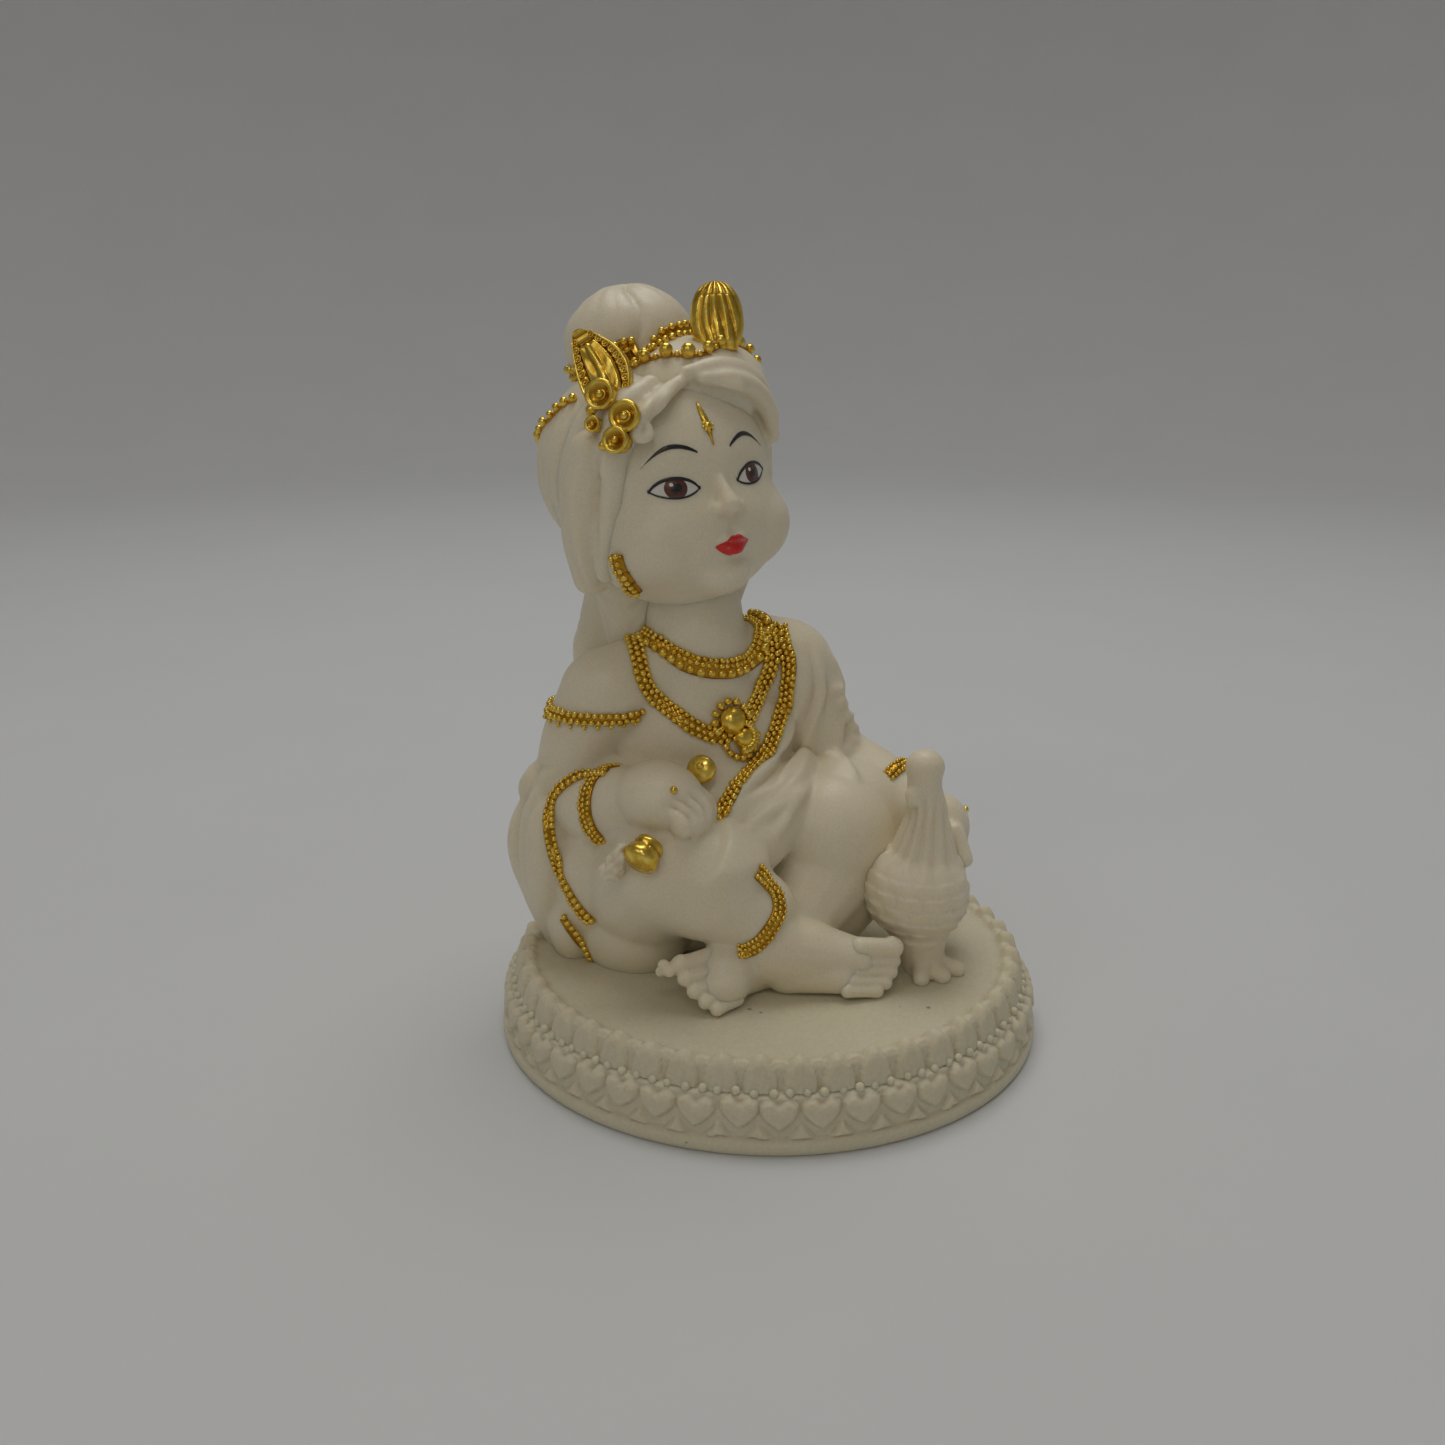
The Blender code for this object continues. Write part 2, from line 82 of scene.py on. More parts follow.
def place_camera():
    turn = CAMERA_AZIMUTH + LOOK_TURN
    right = Vector((cos(turn), sin(turn), 0))
    ahead = Vector((-sin(turn) * cos(LOOK_DOWN), cos(turn) * cos(LOOK_DOWN), -sin(LOOK_DOWN)))
    stand = Matrix((right, right.cross(ahead), -ahead)).transposed().to_4x4()
    away = cos(CAMERA_ELEVATION)
    stand.translation = CAMERA_DISTANCE * Vector(
        (sin(CAMERA_AZIMUTH) * away, -cos(CAMERA_AZIMUTH) * away, sin(CAMERA_ELEVATION))
    )
    camera = bpy.data.cameras.new("camera")
    camera.sensor_width = 36
    camera.lens = camera.sensor_width * FOCAL_PIXELS / IMAGE_SIDE
    camera.clip_start = 0.01
    holder = add_object("camera", camera)
    holder.matrix_world = stand
    bpy.context.scene.camera = holder


place_camera()


# Materials

def colour(red, green, blue):
    return (red, green, blue, 1.0)


def grey(value):
    return colour(value, value, value)


class Shader:
    """A material's node tree, with short calls for its nodes."""

    def __init__(self, name):
        self.material = bpy.data.materials.new(name)
        self.material.use_nodes = True
        self.tree = self.material.node_tree
        self.surface = self.tree.nodes["Principled BSDF"]

    def node(self, kind, **settings):
        made = self.tree.nodes.new(kind)
        for key, value in settings.items():
            setattr(made, key, value)
        return made

    def join(self, output, socket):
        self.tree.links.new(output, socket)

    def set(self, **values):
        """Constants on the surface shader's own sockets."""
        for key, value in values.items():
            self.surface.inputs[key.replace("_", " ")].default_value = value

    def feed(self, **outputs):
        """Node outputs joined to the surface shader's sockets."""
        for key, output in outputs.items():
            self.join(output, self.surface.inputs[key.replace("_", " ")])

    def coordinates(self):
        return self.node("ShaderNodeTexCoord").outputs["Object"]

    def noise(self, size, detail=3.0, roughness=0.5):
        """Noise whose lumps are about this many millimetres across."""
        made = self.node("ShaderNodeTexNoise")
        made.inputs["Scale"].default_value = 1000 / size
        made.inputs["Detail"].default_value = detail
        made.inputs["Roughness"].default_value = roughness
        self.join(self.coordinates(), made.inputs["Vector"])
        return made.outputs["Fac"]

    def ramp(self, source, *stops):
        """The source's value turned into colours, or greys where a stop has a plain number."""
        made = self.node("ShaderNodeValToRGB")
        knots = made.color_ramp.elements
        while len(knots) < len(stops):
            knots.new(0.5)
        for knot, (place, tint) in zip(knots, stops):
            knot.position = place
            knot.color = tint if isinstance(tint, tuple) else grey(tint)
        self.join(source, made.inputs["Fac"])
        return made.outputs["Color"]

    def painted_shade_mask(self, full, none):
        """1 where the surface is as hollow as full says, and 0 from none upwards: the mask for
        where shade is painted.
        """
        pointiness = self.node("ShaderNodeNewGeometry").outputs["Pointiness"]
        return self.ramp(pointiness, (full, 1.0), (none, 0.0))

    def mix(self, share, first, second, blend="MIX"):
        made = self.node("ShaderNodeMix", data_type="RGBA", blend_type=blend)
        for value, socket in zip((share, first, second), (0, 6, 7)):
            if isinstance(value, (tuple, float, int)):
                made.inputs[socket].default_value = value
            else:
                self.join(value, made.inputs[socket])
        return made.outputs[2]

    def bump(self, height, strength, distance, below=None):
        made = self.node("ShaderNodeBump")
        made.inputs["Strength"].default_value = strength
        made.inputs["Distance"].default_value = distance * MM
        self.join(height, made.inputs["Height"])
        if below is not None:
            self.join(below, made.inputs["Normal"])
        return made.outputs["Normal"]


STONE_LIGHT = colour(0.885, 0.802, 0.61)
# Warmer, darker stone colour for hollow places: painted shade.
STONE_PAINTED_SHADE = colour(0.78, 0.58, 0.37)
STONE_PALE = colour(0.895, 0.828, 0.65)
SPECK_SPACING = 4.5

GOLD_TINTS = (
    (0.3, colour(0.68, 0.42, 0.05)), (0.52, colour(0.88, 0.62, 0.1)),
    (0.8, colour(0.97, 0.79, 0.24)),
)

# Dark brown for hollow places, between beads and in reliefs: painted shade.
GOLD_PAINTED_SHADE = colour(0.46, 0.24, 0.022)
STREAK = 0.12


def marble(name, grain, roughness, specks=False, tone=(1.0, 1.0, 1.0)):
    """Cast marble powder in resin: creamy, a little see-through, with a fine sugary grain, and
    painted shade, warmer and darker, in hollow places.
    """
    shader = Shader(name)
    light, pale, deep = (
        colour(*(part * share for part, share in zip(tint, tone)))
        for tint in (STONE_LIGHT, STONE_PALE, STONE_PAINTED_SHADE)
    )
    clouds = shader.ramp(shader.noise(9, 4), (0.35, light), (0.7, pale))
    # Painted shade: hollow places take the warmer, darker stone colour (deep).
    tint = shader.mix(shader.painted_shade_mask(0.39, 0.48), clouds, deep)
    grains = shader.noise(grain, 2, 0.7)
    tint = shader.mix(0.22, tint, shader.ramp(grains, (0.3, 0.55), (0.7, 1.0)), "MULTIPLY")
    if specks:
        dots = shader.node("ShaderNodeTexVoronoi")
        dots.inputs["Scale"].default_value = 1000 / SPECK_SPACING
        shader.join(shader.coordinates(), dots.inputs["Vector"])
        spots = shader.ramp(dots.outputs["Distance"], (0.05, 0.45), (0.085, 1.0))
        few = shader.ramp(shader.noise(11, 1), (0.56, 0.0), (0.6, 1.0))
        tint = shader.mix(few, tint, shader.mix(1.0, tint, spots, "MULTIPLY"))
    rough = shader.ramp(shader.noise(1.7, 3), (0.3, roughness - 0.07), (0.7, roughness + 0.08))
    fine = shader.bump(grains, 0.45, 0.05)
    lumps = shader.bump(shader.noise(3.2, 3), 0.25, 0.25, fine)
    shader.feed(Base_Color=tint, Roughness=rough, Normal=lumps)
    shader.set(Subsurface_Weight=0.5, Subsurface_Scale=0.0018, IOR=1.5)
    shader.set(Subsurface_Radius=(1.0, 0.7, 0.45))
    return shader.material


def gold_paint():
    """Bright gold paint, thin and uneven, with painted shade, a dark brown, in hollow places such
    as between the beads.
    """
    shader = Shader("gold_paint")
    uneven = shader.noise(1.1, 4)
    # Painted shade: hollow places take the dark brown.
    tint = shader.mix(shader.painted_shade_mask(0.47, 0.53), shader.ramp(uneven, *GOLD_TINTS), GOLD_PAINTED_SHADE)
    rough = shader.ramp(uneven, (0.3, 0.3), (0.8, 0.15))
    brushed = shader.bump(shader.noise(0.55, 3), 0.3, 0.06)
    shader.feed(Base_Color=tint, Roughness=rough, Normal=brushed)
    shader.set(Metallic=1.0)
    return shader.material


def paint(name, tint, roughness=0.25):
    """Glossy enamel with faint brush streaks."""
    shader = Shader(name)
    streaks = shader.noise(0.7, 3)
    dark = colour(*(part * (1 - STREAK) for part in tint[:3]))
    shader.feed(
        Base_Color=shader.ramp(streaks, (0.3, dark), (0.7, tint)),
        Normal=shader.bump(streaks, 0.15, 0.02),
    )
    shader.set(Roughness=roughness, Coat_Weight=0.3, Coat_Roughness=0.15)
    return shader.material


STONE = marble("marble_resin", 0.32, 0.42, tone=(0.96, 0.955, 0.95))
BASE_STONE = marble("marble_resin_base", 0.5, 0.55, specks=True, tone=(0.835, 0.843, 0.81))
GOLD = gold_paint()
BLACK = paint("eye_line_paint", colour(0.012, 0.010, 0.010))
# White paint for the eye whites and for the painted highlights on the irises.
WHITE = paint("eye_white_and_highlight_paint", colour(0.78, 0.76, 0.70))
BROWN = paint("iris_paint", colour(0.11, 0.028, 0.016))
RED = paint("lip_paint", colour(0.74, 0.014, 0.008), 0.32)


# Publishing a piece

def publish(made, material):
    """Gives the piece its material, its place in the frame and its body."""
    made.data.transform(LIFT @ made.matrix_world)
    made.matrix_world = Matrix.Identity(4)
    made.data.materials.clear()
    made.data.materials.append(material)
    for face in made.data.polygons:
        face.use_smooth = True
        face.material_index = 0
    made.data.name = made.name
    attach(made, "root")
    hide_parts(NODE)


def publish_stone(made):
    publish(made, STONE)


def publish_gold(name, parts):
    publish(together(name, parts), GOLD)


def mesh_object(name, points, faces, unit=MM):
    """An object from points in millimetres, or in another unit."""
    mesh = bpy.data.meshes.new(name)
    in_metres = np.asarray(points, float) * unit
    mesh.from_pydata(in_metres.tolist(), [], [list(face) for face in faces])
    return add_object(name, mesh)


def joined(parts):
    """One list of points and one of faces from several of each."""
    points, faces, first = [], [], 0
    for own_points, own_faces in parts:
        points.append(np.asarray(own_points, float).reshape(-1, 3))
        faces.extend([first + corner for corner in face] for face in own_faces)
        first += len(own_points)
    return np.vstack(points), faces


def together(name, parts):
    return mesh_object(name, *joined(parts))


def tube_faces(count, sides, closed=False):
    """Faces between rings of points, and from the last ring to the first where it is closed."""
    faces = []
    for row in range(count if closed else count - 1):
        near, far = row * sides, (row + 1) % count * sides
        for j in range(sides):
            k = (j + 1) % sides
            faces.append((near + j, near + k, far + k, far + j))
    return faces


def tube(rings, closed=False):
    """A skin over rings of points, with a face over each open end."""
    count, sides = rings.shape[:2]
    faces = tube_faces(count, sides, closed)
    if not closed:
        faces += [range(sides)[::-1], range((count - 1) * sides, count * sides)]
    return rings.reshape(-1, 3), faces


def slab(front, back, wide):
    """A closed plate from one grid of points on its front and one on its back."""
    count = len(front)
    tall = count // wide
    faces = []
    for i in range(tall - 1):
        for a in range(i * wide, i * wide + wide - 1):
            faces.append((a, a + 1, a + wide + 1, a + wide))
            faces.append((count + a, count + a + wide, count + a + wide + 1, count + a + 1))
    rim = list(range(wide)) + [(i + 2) * wide - 1 for i in range(tall - 1)]
    rim += [tall * wide - 2 - j for j in range(wide - 1)]
    rim += [(tall - 2 - i) * wide for i in range(tall - 2)]
    faces += [(b, a, count + a, count + b) for a, b in zip(rim, rim[1:] + rim[:1])]
    return [*front, *back], faces


def ring_points(profile, segments):
    """A ring of points round the upright axis for each (radius, height)."""
    turns = [2 * pi * i / segments for i in range(segments)]
    return [
        (radius * cos(turn), radius * sin(turn), height)
        for radius, height in profile
        for turn in turns
    ]


def turned(profile, segments=24):
    """A closed form round its own upright axis, from (radius, height) pairs from pole to pole."""
    points = [(0, 0, profile[0][1]), *ring_points(profile[1:-1], segments), (0, 0, profile[-1][1])]
    last = len(points) - 1
    ring = last - segments
    faces = [(0, 1 + (i + 1) % segments, 1 + i) for i in range(segments)]
    for face in tube_faces(len(profile) - 2, segments):
        faces.append(tuple(1 + corner for corner in face))
    faces += [(last, ring + i, ring + (i + 1) % segments) for i in range(segments)]
    if profile[0][1] > profile[-1][1]:
        faces = [face[::-1] for face in faces]
    return np.array(points, float), faces


# Building forms

def ball(at, radii, turn=(0, 0, 0), inside=FIGURE):
    """An ellipsoid with its turn in degrees."""
    bpy.ops.mesh.primitive_uv_sphere_add(segments=40, ring_count=20, radius=1)
    made = bpy.context.object
    own = frame(at, *turn) @ Matrix.Diagonal((*radii, 1))
    made.matrix_world = Matrix.Scale(MM, 4) @ inside @ own
    return [made]


def limb(points, radii, inside=FIGURE):
    """A round form that swells and thins along a smooth line, with a ball in each end."""
    curve = bpy.data.curves.new("limb", "CURVE")
    curve.dimensions = "3D"
    curve.bevel_depth = 1
    curve.bevel_resolution = 6
    curve.resolution_u = 12
    curve.use_fill_caps = True
    spline = curve.splines.new("BEZIER")
    spline.bezier_points.add(len(points) - 1)
    for knot, point, radius in zip(spline.bezier_points, points, radii):
        knot.co = point
        knot.radius = radius
        knot.handle_left_type = knot.handle_right_type = "AUTO"
    made = add_object("limb", curve)
    made.matrix_world = Matrix.Scale(MM, 4) @ inside
    ends = ((points[i], [radii[i]] * 3) for i in (0, -1))
    return [made] + balls(*ends, inside=inside)


def limbs(*lines, inside=FIGURE):
    return [form for points, radii in lines for form in limb(points, radii, inside)]


def balls(*places, inside=FIGURE):
    return [form for place in places for form in ball(*place, inside=inside)]


def add_smoothing(made, passes):
    soften = made.modifiers.new("soften", "SMOOTH")
    soften.factor = 0.5
    soften.iterations = passes


def settle(made):
    """Applies the object's modifiers."""
    bpy.context.view_layer.update()
    graph = bpy.context.evaluated_depsgraph_get()
    mesh = bpy.data.meshes.new_from_object(made.evaluated_get(graph))
    made.modifiers.clear()
    made.data = mesh


def fused(name, forms, voxel, smoothings):
    """The forms grown together into one closed skin, softened where they meet."""
    bpy.context.view_layer.update()
    graph = bpy.context.evaluated_depsgraph_get()
    parts = []
    for form in forms:
        mesh = bpy.data.meshes.new_from_object(form.evaluated_get(graph))
        mesh.transform(form.matrix_world)
        points = [tuple(vertex.co) for vertex in mesh.vertices]
        parts.append((points, [face.vertices for face in mesh.polygons]))
    for form in forms:
        bpy.data.objects.remove(form)
    made = mesh_object(name, *joined(parts), unit=1)
    skin = made.modifiers.new("skin", "REMESH")
    skin.mode = "VOXEL"
    skin.voxel_size = voxel * MM
    add_smoothing(made, smoothings)
    settle(made)
    return made


# Carving on a skin

def skin_of(made):
    """The skin's points in millimetres, and its outward directions."""
    read = []
    for name in ("co", "normal"):
        values = np.empty(len(made.data.vertices) * 3, np.float32)
        made.data.vertices.foreach_get(name, values)
        read.append(values.reshape(-1, 3).astype(float))
    return read[0] / MM, read[1]


def raise_skin(made, change):
    """Moves each point of the skin outwards by its own change."""
    points, normals = skin_of(made)
    moved = (points + normals * change[:, None]) * MM
    made.data.vertices.foreach_set("co", moved.astype(np.float32).ravel())
    made.data.update()


def soft_step(value, low, high):
    """0 up to low, 1 from high on, and smooth between them."""
    t = np.clip((value - low) / (high - low), 0, 1)
    return t * t * (3 - 2 * t)


def seen_from(points, own):
    """The points in a frame's own directions."""
    return (points - np.array(own.translation)) @ np.array(own.to_3x3())


def rounded_path(knots, step=1.0):
    """Points about a step apart on a smooth line through the knots."""
    knots = np.array(knots, float)
    before = np.vstack([2 * knots[0] - knots[1], knots[:-1]])
    after = np.vstack([knots[1:], 2 * knots[-1] - knots[-2]])
    slopes = (after - before) / 2
    path = []
    for i in range(len(knots) - 1):
        count = max(2, round(float(np.linalg.norm(knots[i + 1] - knots[i])) / step))
        t = np.arange(count)[:, None] / count
        path.append(
            (2 * t**3 - 3 * t**2 + 1) * knots[i]
            + (t**3 - 2 * t**2 + t) * slopes[i]
            + (3 * t**2 - 2 * t**3) * knots[i + 1]
            + (t**3 - t**2) * slopes[i + 1]
        )
    return np.vstack(path + [knots[-1:]])


TAPER = 0.35


def stroke_field(points, knots, width):
    """How strongly a stroke along the knots is felt at each point, from 0 to 1."""
    path = rounded_path(knots, 0.5)
    share = np.linspace(0, 1, len(path))
    weight = soft_step(np.minimum(share, 1 - share), 0, TAPER)
    reach = 2.6 * width
    near = np.all((points > path.min(axis=0) - reach) & (points < path.max(axis=0) + reach), axis=1)
    close = points[near]
    best = np.zeros(len(close))
    for at, strength in zip(path, weight):
        gap = ((close - at) ** 2).sum(axis=1)
        best = np.maximum(best, strength * np.exp(-gap / width**2))
    field = np.zeros(len(points))
    field[near] = best
    return field


def carve(made, strokes):
    """Raises or sinks the skin along strokes, given as (knots, height, width)."""
    ground = Ground(made)
    points = skin_of(made)[0]
    change = np.zeros(len(points))
    for knots, height, width in strokes:
        knots = [ground.rest(at)[0] for at in rounded_path(knots, 1.2)]
        change += height * stroke_field(points, knots, width)
    raise_skin(made, change)


def dabs(made, inside, touches):
    """Raises or sinks soft spots, given as (place, height, radii) in the frame's directions."""
    local = seen_from(skin_of(made)[0], inside)
    change = np.zeros(len(local))
    for at, height, radii in touches:
        change += height * np.exp(-(((local - np.array(at)) / np.array(radii)) ** 2).sum(axis=1))
    raise_skin(made, change)


def ease(made, passes):
    """Relaxes the skin a little."""
    add_smoothing(made, passes)
    settle(made)


# Body

def trunk():
    forms = balls(
        ((0, 2, 7), (18, 14.5, 10.5)),
        ((0, -4.5, 19), (13.5, 12, 13)),
        ((0, 0, 31), (14, 10, 12)),
        inside=TORSO,
    )
    shoulders = [(-14.2, 1, 38.8), (-7, 1, 41), (0, 1, 42), (7, 1, 41.6), (14, 1, 39.6)]
    return forms + limbs(
        ([(0.4, 0, 38), (-0.6, 1, 50)], [8, 7.4]),
        (shoulders, [6.6, 6.2, 6, 6.2, 6.8]),
        inside=TORSO,
    )


def right_arm():
    return limbs(
        ([(-20, 12.3, 39), (-23.4, 13.6, 33), (-25.4, 13.2, 26)], [6.8, 6, 5.8]),
        ([(-25, 13, 25.5), (-24.5, 8, 23.5), (-22, 2.5, 25.5)], [5.8, 5.6, 5.2]),
    )


def left_arm():
    return limbs(
        ([(7.4, 9, 39), (10.6, 8.5, 33), (14, 6.5, 26.4)], [6.6, 6.2, 6]),
        ([(14, 6.5, 25.6), (18.8, 0.5, 23), (22, -6.5, 19.6)], [5.6, 5, 4.4]),
    )


def legs():
    return limbs(
        ([(-14, 12, 8), (-18, 4, 12), (-17.6, -3, 17)], [10, 9.8, 9.2]),
        ([(-17.6, -3, 17), (-12.6, -7.6, 14.2), (-8.6, -10.7, 11.2)], [9.2, 8.2, 6.1]),
        ([(2, 10, 8), (8, 4, 13), (12.4, -1.2, 18.8)], [10, 9.6, 8.8]),
        ([(12.4, -1.6, 18.8), (8.4, -4, 10.5), (2, -6, 4.5)], [8.8, 9.2, 7]),
    )


RIGHT_FINGERS = (
    ((-15.6, -3.4, 27.4), (-13.6, -5.2, 25.8), (-14.4, -6.6, 24.4)),
    ((-16.8, -5.0, 28.0), (-15.0, -6.8, 26.2), (-15.6, -8.0, 25.0)),
    ((-18.4, -6.0, 27.9), (-17.0, -8.0, 26.4), (-17.2, -9.0, 25.2)),
    ((-20.2, -6.4, 27.6), (-18.8, -8.6, 26.4), (-18.9, -9.5, 25.4)),
)


def right_hand():
    forms = ball((-18.8, -2.4, 27.4), (6.2, 7.0, 4.8), turn=(0, 12, -30))
    return forms + limbs(*((finger, [2.3, 2.0, 1.7]) for finger in RIGHT_FINGERS))


HAND_CREASES = (
    (((-21.7, -8.3, 28.8), (-19.8, -9.1, 28.0), (-18.4, -9.6, 26.5), (-18.1, -10.6, 25.0)), -0.8,
      0.55),
    (((-20.5, -8.3, 29.4), (-18.3, -8.7, 28.6), (-16.8, -9.3, 27.0), (-16.6, -10.3, 25.5)), -0.7,
      0.5),
    (((-17.6, -7.6, 29.2), (-15.6, -8.0, 27.4), (-15.0, -8.8, 25.8)), -0.6, 0.5),
)

LEFT_TOES = (
    ((3.6, -19.6, 6.6), (9.0, -21.4, 6.2), 1.5),
    ((3.2, -20.2, 5.0), (8.6, -21.6, 4.3), 1.15),
    ((2.6, -20.6, 3.7), (8.0, -21.9, 2.9), 1.1),
    ((1.6, -21.0, 2.5), (6.8, -22.4, 1.7), 1.05),
    ((0.5, -21.4, 1.5), (5.2, -22.7, 0.9), 1.0),
)

RIGHT_TOES = (
    ((-15.6, -11.8, 6.4), (-21.6, -12.2, 6.4), 1.3),
    ((-15.4, -13.0, 4.9), (-21.3, -13.4, 4.8), 1.12),
    ((-15.2, -14.1, 3.4), (-20.5, -14.6, 3.2), 1.08),
    ((-14.6, -15.1, 2.1), (-19.4, -15.9, 1.9), 1.02),
    ((-14.0, -16.0, 1.3), (-18.1, -16.9, 0.9), 0.98),
)

CHIPS = (
    ((-22.9, -11.5, 6.5), (1.0, 0.8, 0.8)),
    ((-23.2, -11.2, 5.6), (0.8, 0.7, 0.9)),
    ((-22.4, -12.2, 5.8), (0.9, 0.8, 0.9)),
)


def toe(root, tip, radius):
    """A toe with a rounded pad at its tip and a small nail."""
    root, tip = Vector(root), Vector(tip)
    ahead = (tip - root).normalized()
    points = [root, root.lerp(tip, 0.6), tip - ahead * radius * 0.6]
    nail = tip - ahead * radius * 0.75 + Vector((0, 0, radius * 0.62))
    return limb(points, [radius * 1.02, radius * 0.9, radius]) + ball(
        nail, (radius * 0.62, radius * 0.62, radius * 0.5)
    )


def carved_toes():
    forms = []
    for root, tip, radius in LEFT_TOES + RIGHT_TOES:
        forms += toe(root, tip, radius)
    forms += balls(*((at, radii, (20, 30, 10)) for at, radii in CHIPS))
    return fused("carved_toes", forms, 0.19, 2)


def left_hand():
    forms = ball((23.2, -10.5, 18.4), (4.4, 5, 5))
    for i in range(4):
        knuckle = Vector((25.2 - 1.2 * i, -11.4 - 1.6 * i, 17.8 + 0.6 * i))
        forms += limb([knuckle, knuckle + Vector((0.4, -2.4, -3.6))], [1.6, 1.3])
    return forms


def feet():
    left_instep = [(-8.6, -10.7, 10.4), (-6.4, -12.8, 6.4), (-1.4, -15.4, 5.0), (3.6, -18.6, 4.4)]
    forms = limbs(
        (left_instep, [5.4, 5.6, 4.7, 3.2]),
        ([(-5, -14.4, 3.4), (0.6, -19.2, 2.6)], [3.8, 2.4]),
        ([(2, -6, 4.5), (-7, -9.5, 3.6), (-13.8, -12.4, 4.0)], [6, 5.0, 4.2]),
    )
    return forms + ball((-14.8, -14.0, 3.0), (3.8, 3.4, 3.1))


# Dress

SHAWL_FRONT_EDGE = (
    (10, 18, 24, 27, 29.3, 33.3, 37.5, 43.4, 47),
    (-14, -9, -3.4, 0, 5.1, 9, 11.1, 11.8, 10),
)
SHAWL_BACK_EDGE = ((8, 20, 34, 47), (-16, -6, 4, 9))
CLOTH_THICKNESS = 1.3


def drape(body):
    """Lays the shawl over the left shoulder and round to the right hip."""
    across, deep, high = seen_from(skin_of(body)[0], TORSO).T
    front = np.interp(high, *SHAWL_FRONT_EDGE)
    back = np.interp(high, *SHAWL_BACK_EDGE)
    side = np.clip(deep / 6 + 0.5, 0, 1)
    past_edge = across - (front * (1 - side) + back * side)
    above_lap = np.minimum(high - 17, high - 27 + 4 * (20 - across))
    cover = np.clip(past_edge / 0.8, 0, 1) * np.clip(above_lap / 2, 0, 1)
    raise_skin(body, CLOTH_THICKNESS * cover)


FOLDS = (
    (((8.3, 4.0, 45.3), (9.1, 2.0, 41.9), (9.7, 1.4, 38.2), (8.5, 1.4, 34.5), (7.3, 2.1, 30.5),
      (4.7, 0.0, 28.4), (-1.9, -4.9, 27.0), (-6.6, -6.2, 25.7), (-10.9, -5.1, 24.7)), 0.95, 0.9),
    (((6.3, 2.3, 42.9), (6.3, 1.3, 39.4), (5.7, 1.9, 35.4), (3.9, 1.3, 32.0), (-0.5, -1.6, 29.4),
      (-6.8, -4.9, 27.6), (-11.0, -4.1, 25.4)), 0.85, 0.9),
    (((9.3, 1.3, 34.8), (8.4, 1.4, 31.3), (6.4, 0.0, 28.6), (2.4, -4.2, 27.6), (-2.1, -6.6, 26.1),
      (-6.2, -6.8, 24.5), (-11.0, -7.6, 24.2)), 0.85, 0.9),
    (((3.4, -4.9, 27.0), (-1.9, -7.7, 25.2), (-6.1, -7.9, 23.8), (-10.9, -9.7, 23.7)), 0.8, 0.85),
    (((4.3, -4.7, 26.7), (0.8, -7.5, 25.6), (-1.6, -8.6, 24.1), (-3.8, -9.6, 22.1),
      (-6.3, -10.7, 20.7)), 0.9, 0.8),
    (((8.2, 4.6, 45.9), (8.2, 1.9, 42.0), (8.3, 1.2, 38.4), (7.4, 1.6, 34.5), (6.4, 2.7, 31.5)),
      -0.55, 0.6),
    (((3.3, 0.8, 28.4), (-3.5, -4.6, 27.7), (-8.4, -5.8, 26.2)), -0.55, 0.6),
    (((10.8, 2.2, 40.9), (10.8, 1.6, 37.2), (9.6, 1.2, 33.6)), -0.55, 0.6),
    (((13.0, 4.4, 43.6), (14.2, 3.4, 40.0), (14.0, 2.4, 37.4), (12.6, 1.6, 34.6)), 0.7, 0.9),
    (((15.4, 5.0, 42.6), (16.6, 3.8, 39.4), (16.0, 3.0, 36.6)), 0.6, 0.8),
)

FRILL = (
    (12.2, 2.2, 37.6), (13.4, 1.9, 35.3), (14.4, 1.8, 33.3), (15.6, 2.2, 31.2),
    (15.4, 1.4, 29.3), (13.6, 0.5, 28.3), (10.9, -1.2, 28.3),
)

CLOTH_FOLDS = (
    (((-24, 12, 29.5), (-29, 15, 26), (-32, 16, 20), (-31.6, 15.4, 12)), -0.6, 0.9),
    (((-22, 8, 29.6), (-28, 10.5, 28), (-31.6, 12.4, 22), (-31.8, 12, 14), (-29.5, 12, 6)), -0.6,
      0.9),
    (((-28, 18.5, 26), (-31.4, 20, 20), (-31, 19.6, 12), (-28.6, 18.6, 4)), -0.6, 0.9),
    (((-26, 14, 30), (-30.4, 16.6, 24.6), (-31.8, 17.6, 18), (-30.6, 17, 9)), 0.5, 0.8),
)


def hanging_cloth():
    """The shawl's end, rolled round the right elbow and hanging to the base."""
    forms = limb([(-18.6, 5.4, 27.8), (-23.6, 10.6, 27.2), (-27.8, 16, 24.6)], [2.4, 3.4, 4.6])
    forms += balls(
        ((-28.4, 15.4, 15.6), (4.8, 8.4, 12), (0, 0, -30)),
        ((-25.4, 13.6, 6), (4.6, 8, 9), (0, 0, -30)),
        ((-24.6, 8.4, 13), (5.6, 6.4, 9.6), (0, 0, -30)),
    )
    fall = [(-27.4, 18.2, 22), (-29.8, 18.2, 16), (-28.6, 17.2, 9), (-25, 16, -1)]
    return forms + limb(fall, [4.4, 4.4, 4.2, 4]) + ball((-19, 8, 5), (8.6, 11, 9))


def lap_cloth():
    """The shawl's fan over the lap, and the left knee and shin that fill the space under it."""
    forms = limbs(
        ([(6.4, 0.8, 25.4), (0.5, -3.4, 22.8), (-5.5, -6.0, 19.6)], [3.4, 5.0, 4.6]),
        ([(9, -3.6, 16), (5.0, -5.6, 11.4), (-0.4, -8.0, 6.5)], [9.0, 8.6, 6.6]),
    )
    return forms + ball((7.9, -4.2, 17.7), (9.6, 9.6, 9.6))


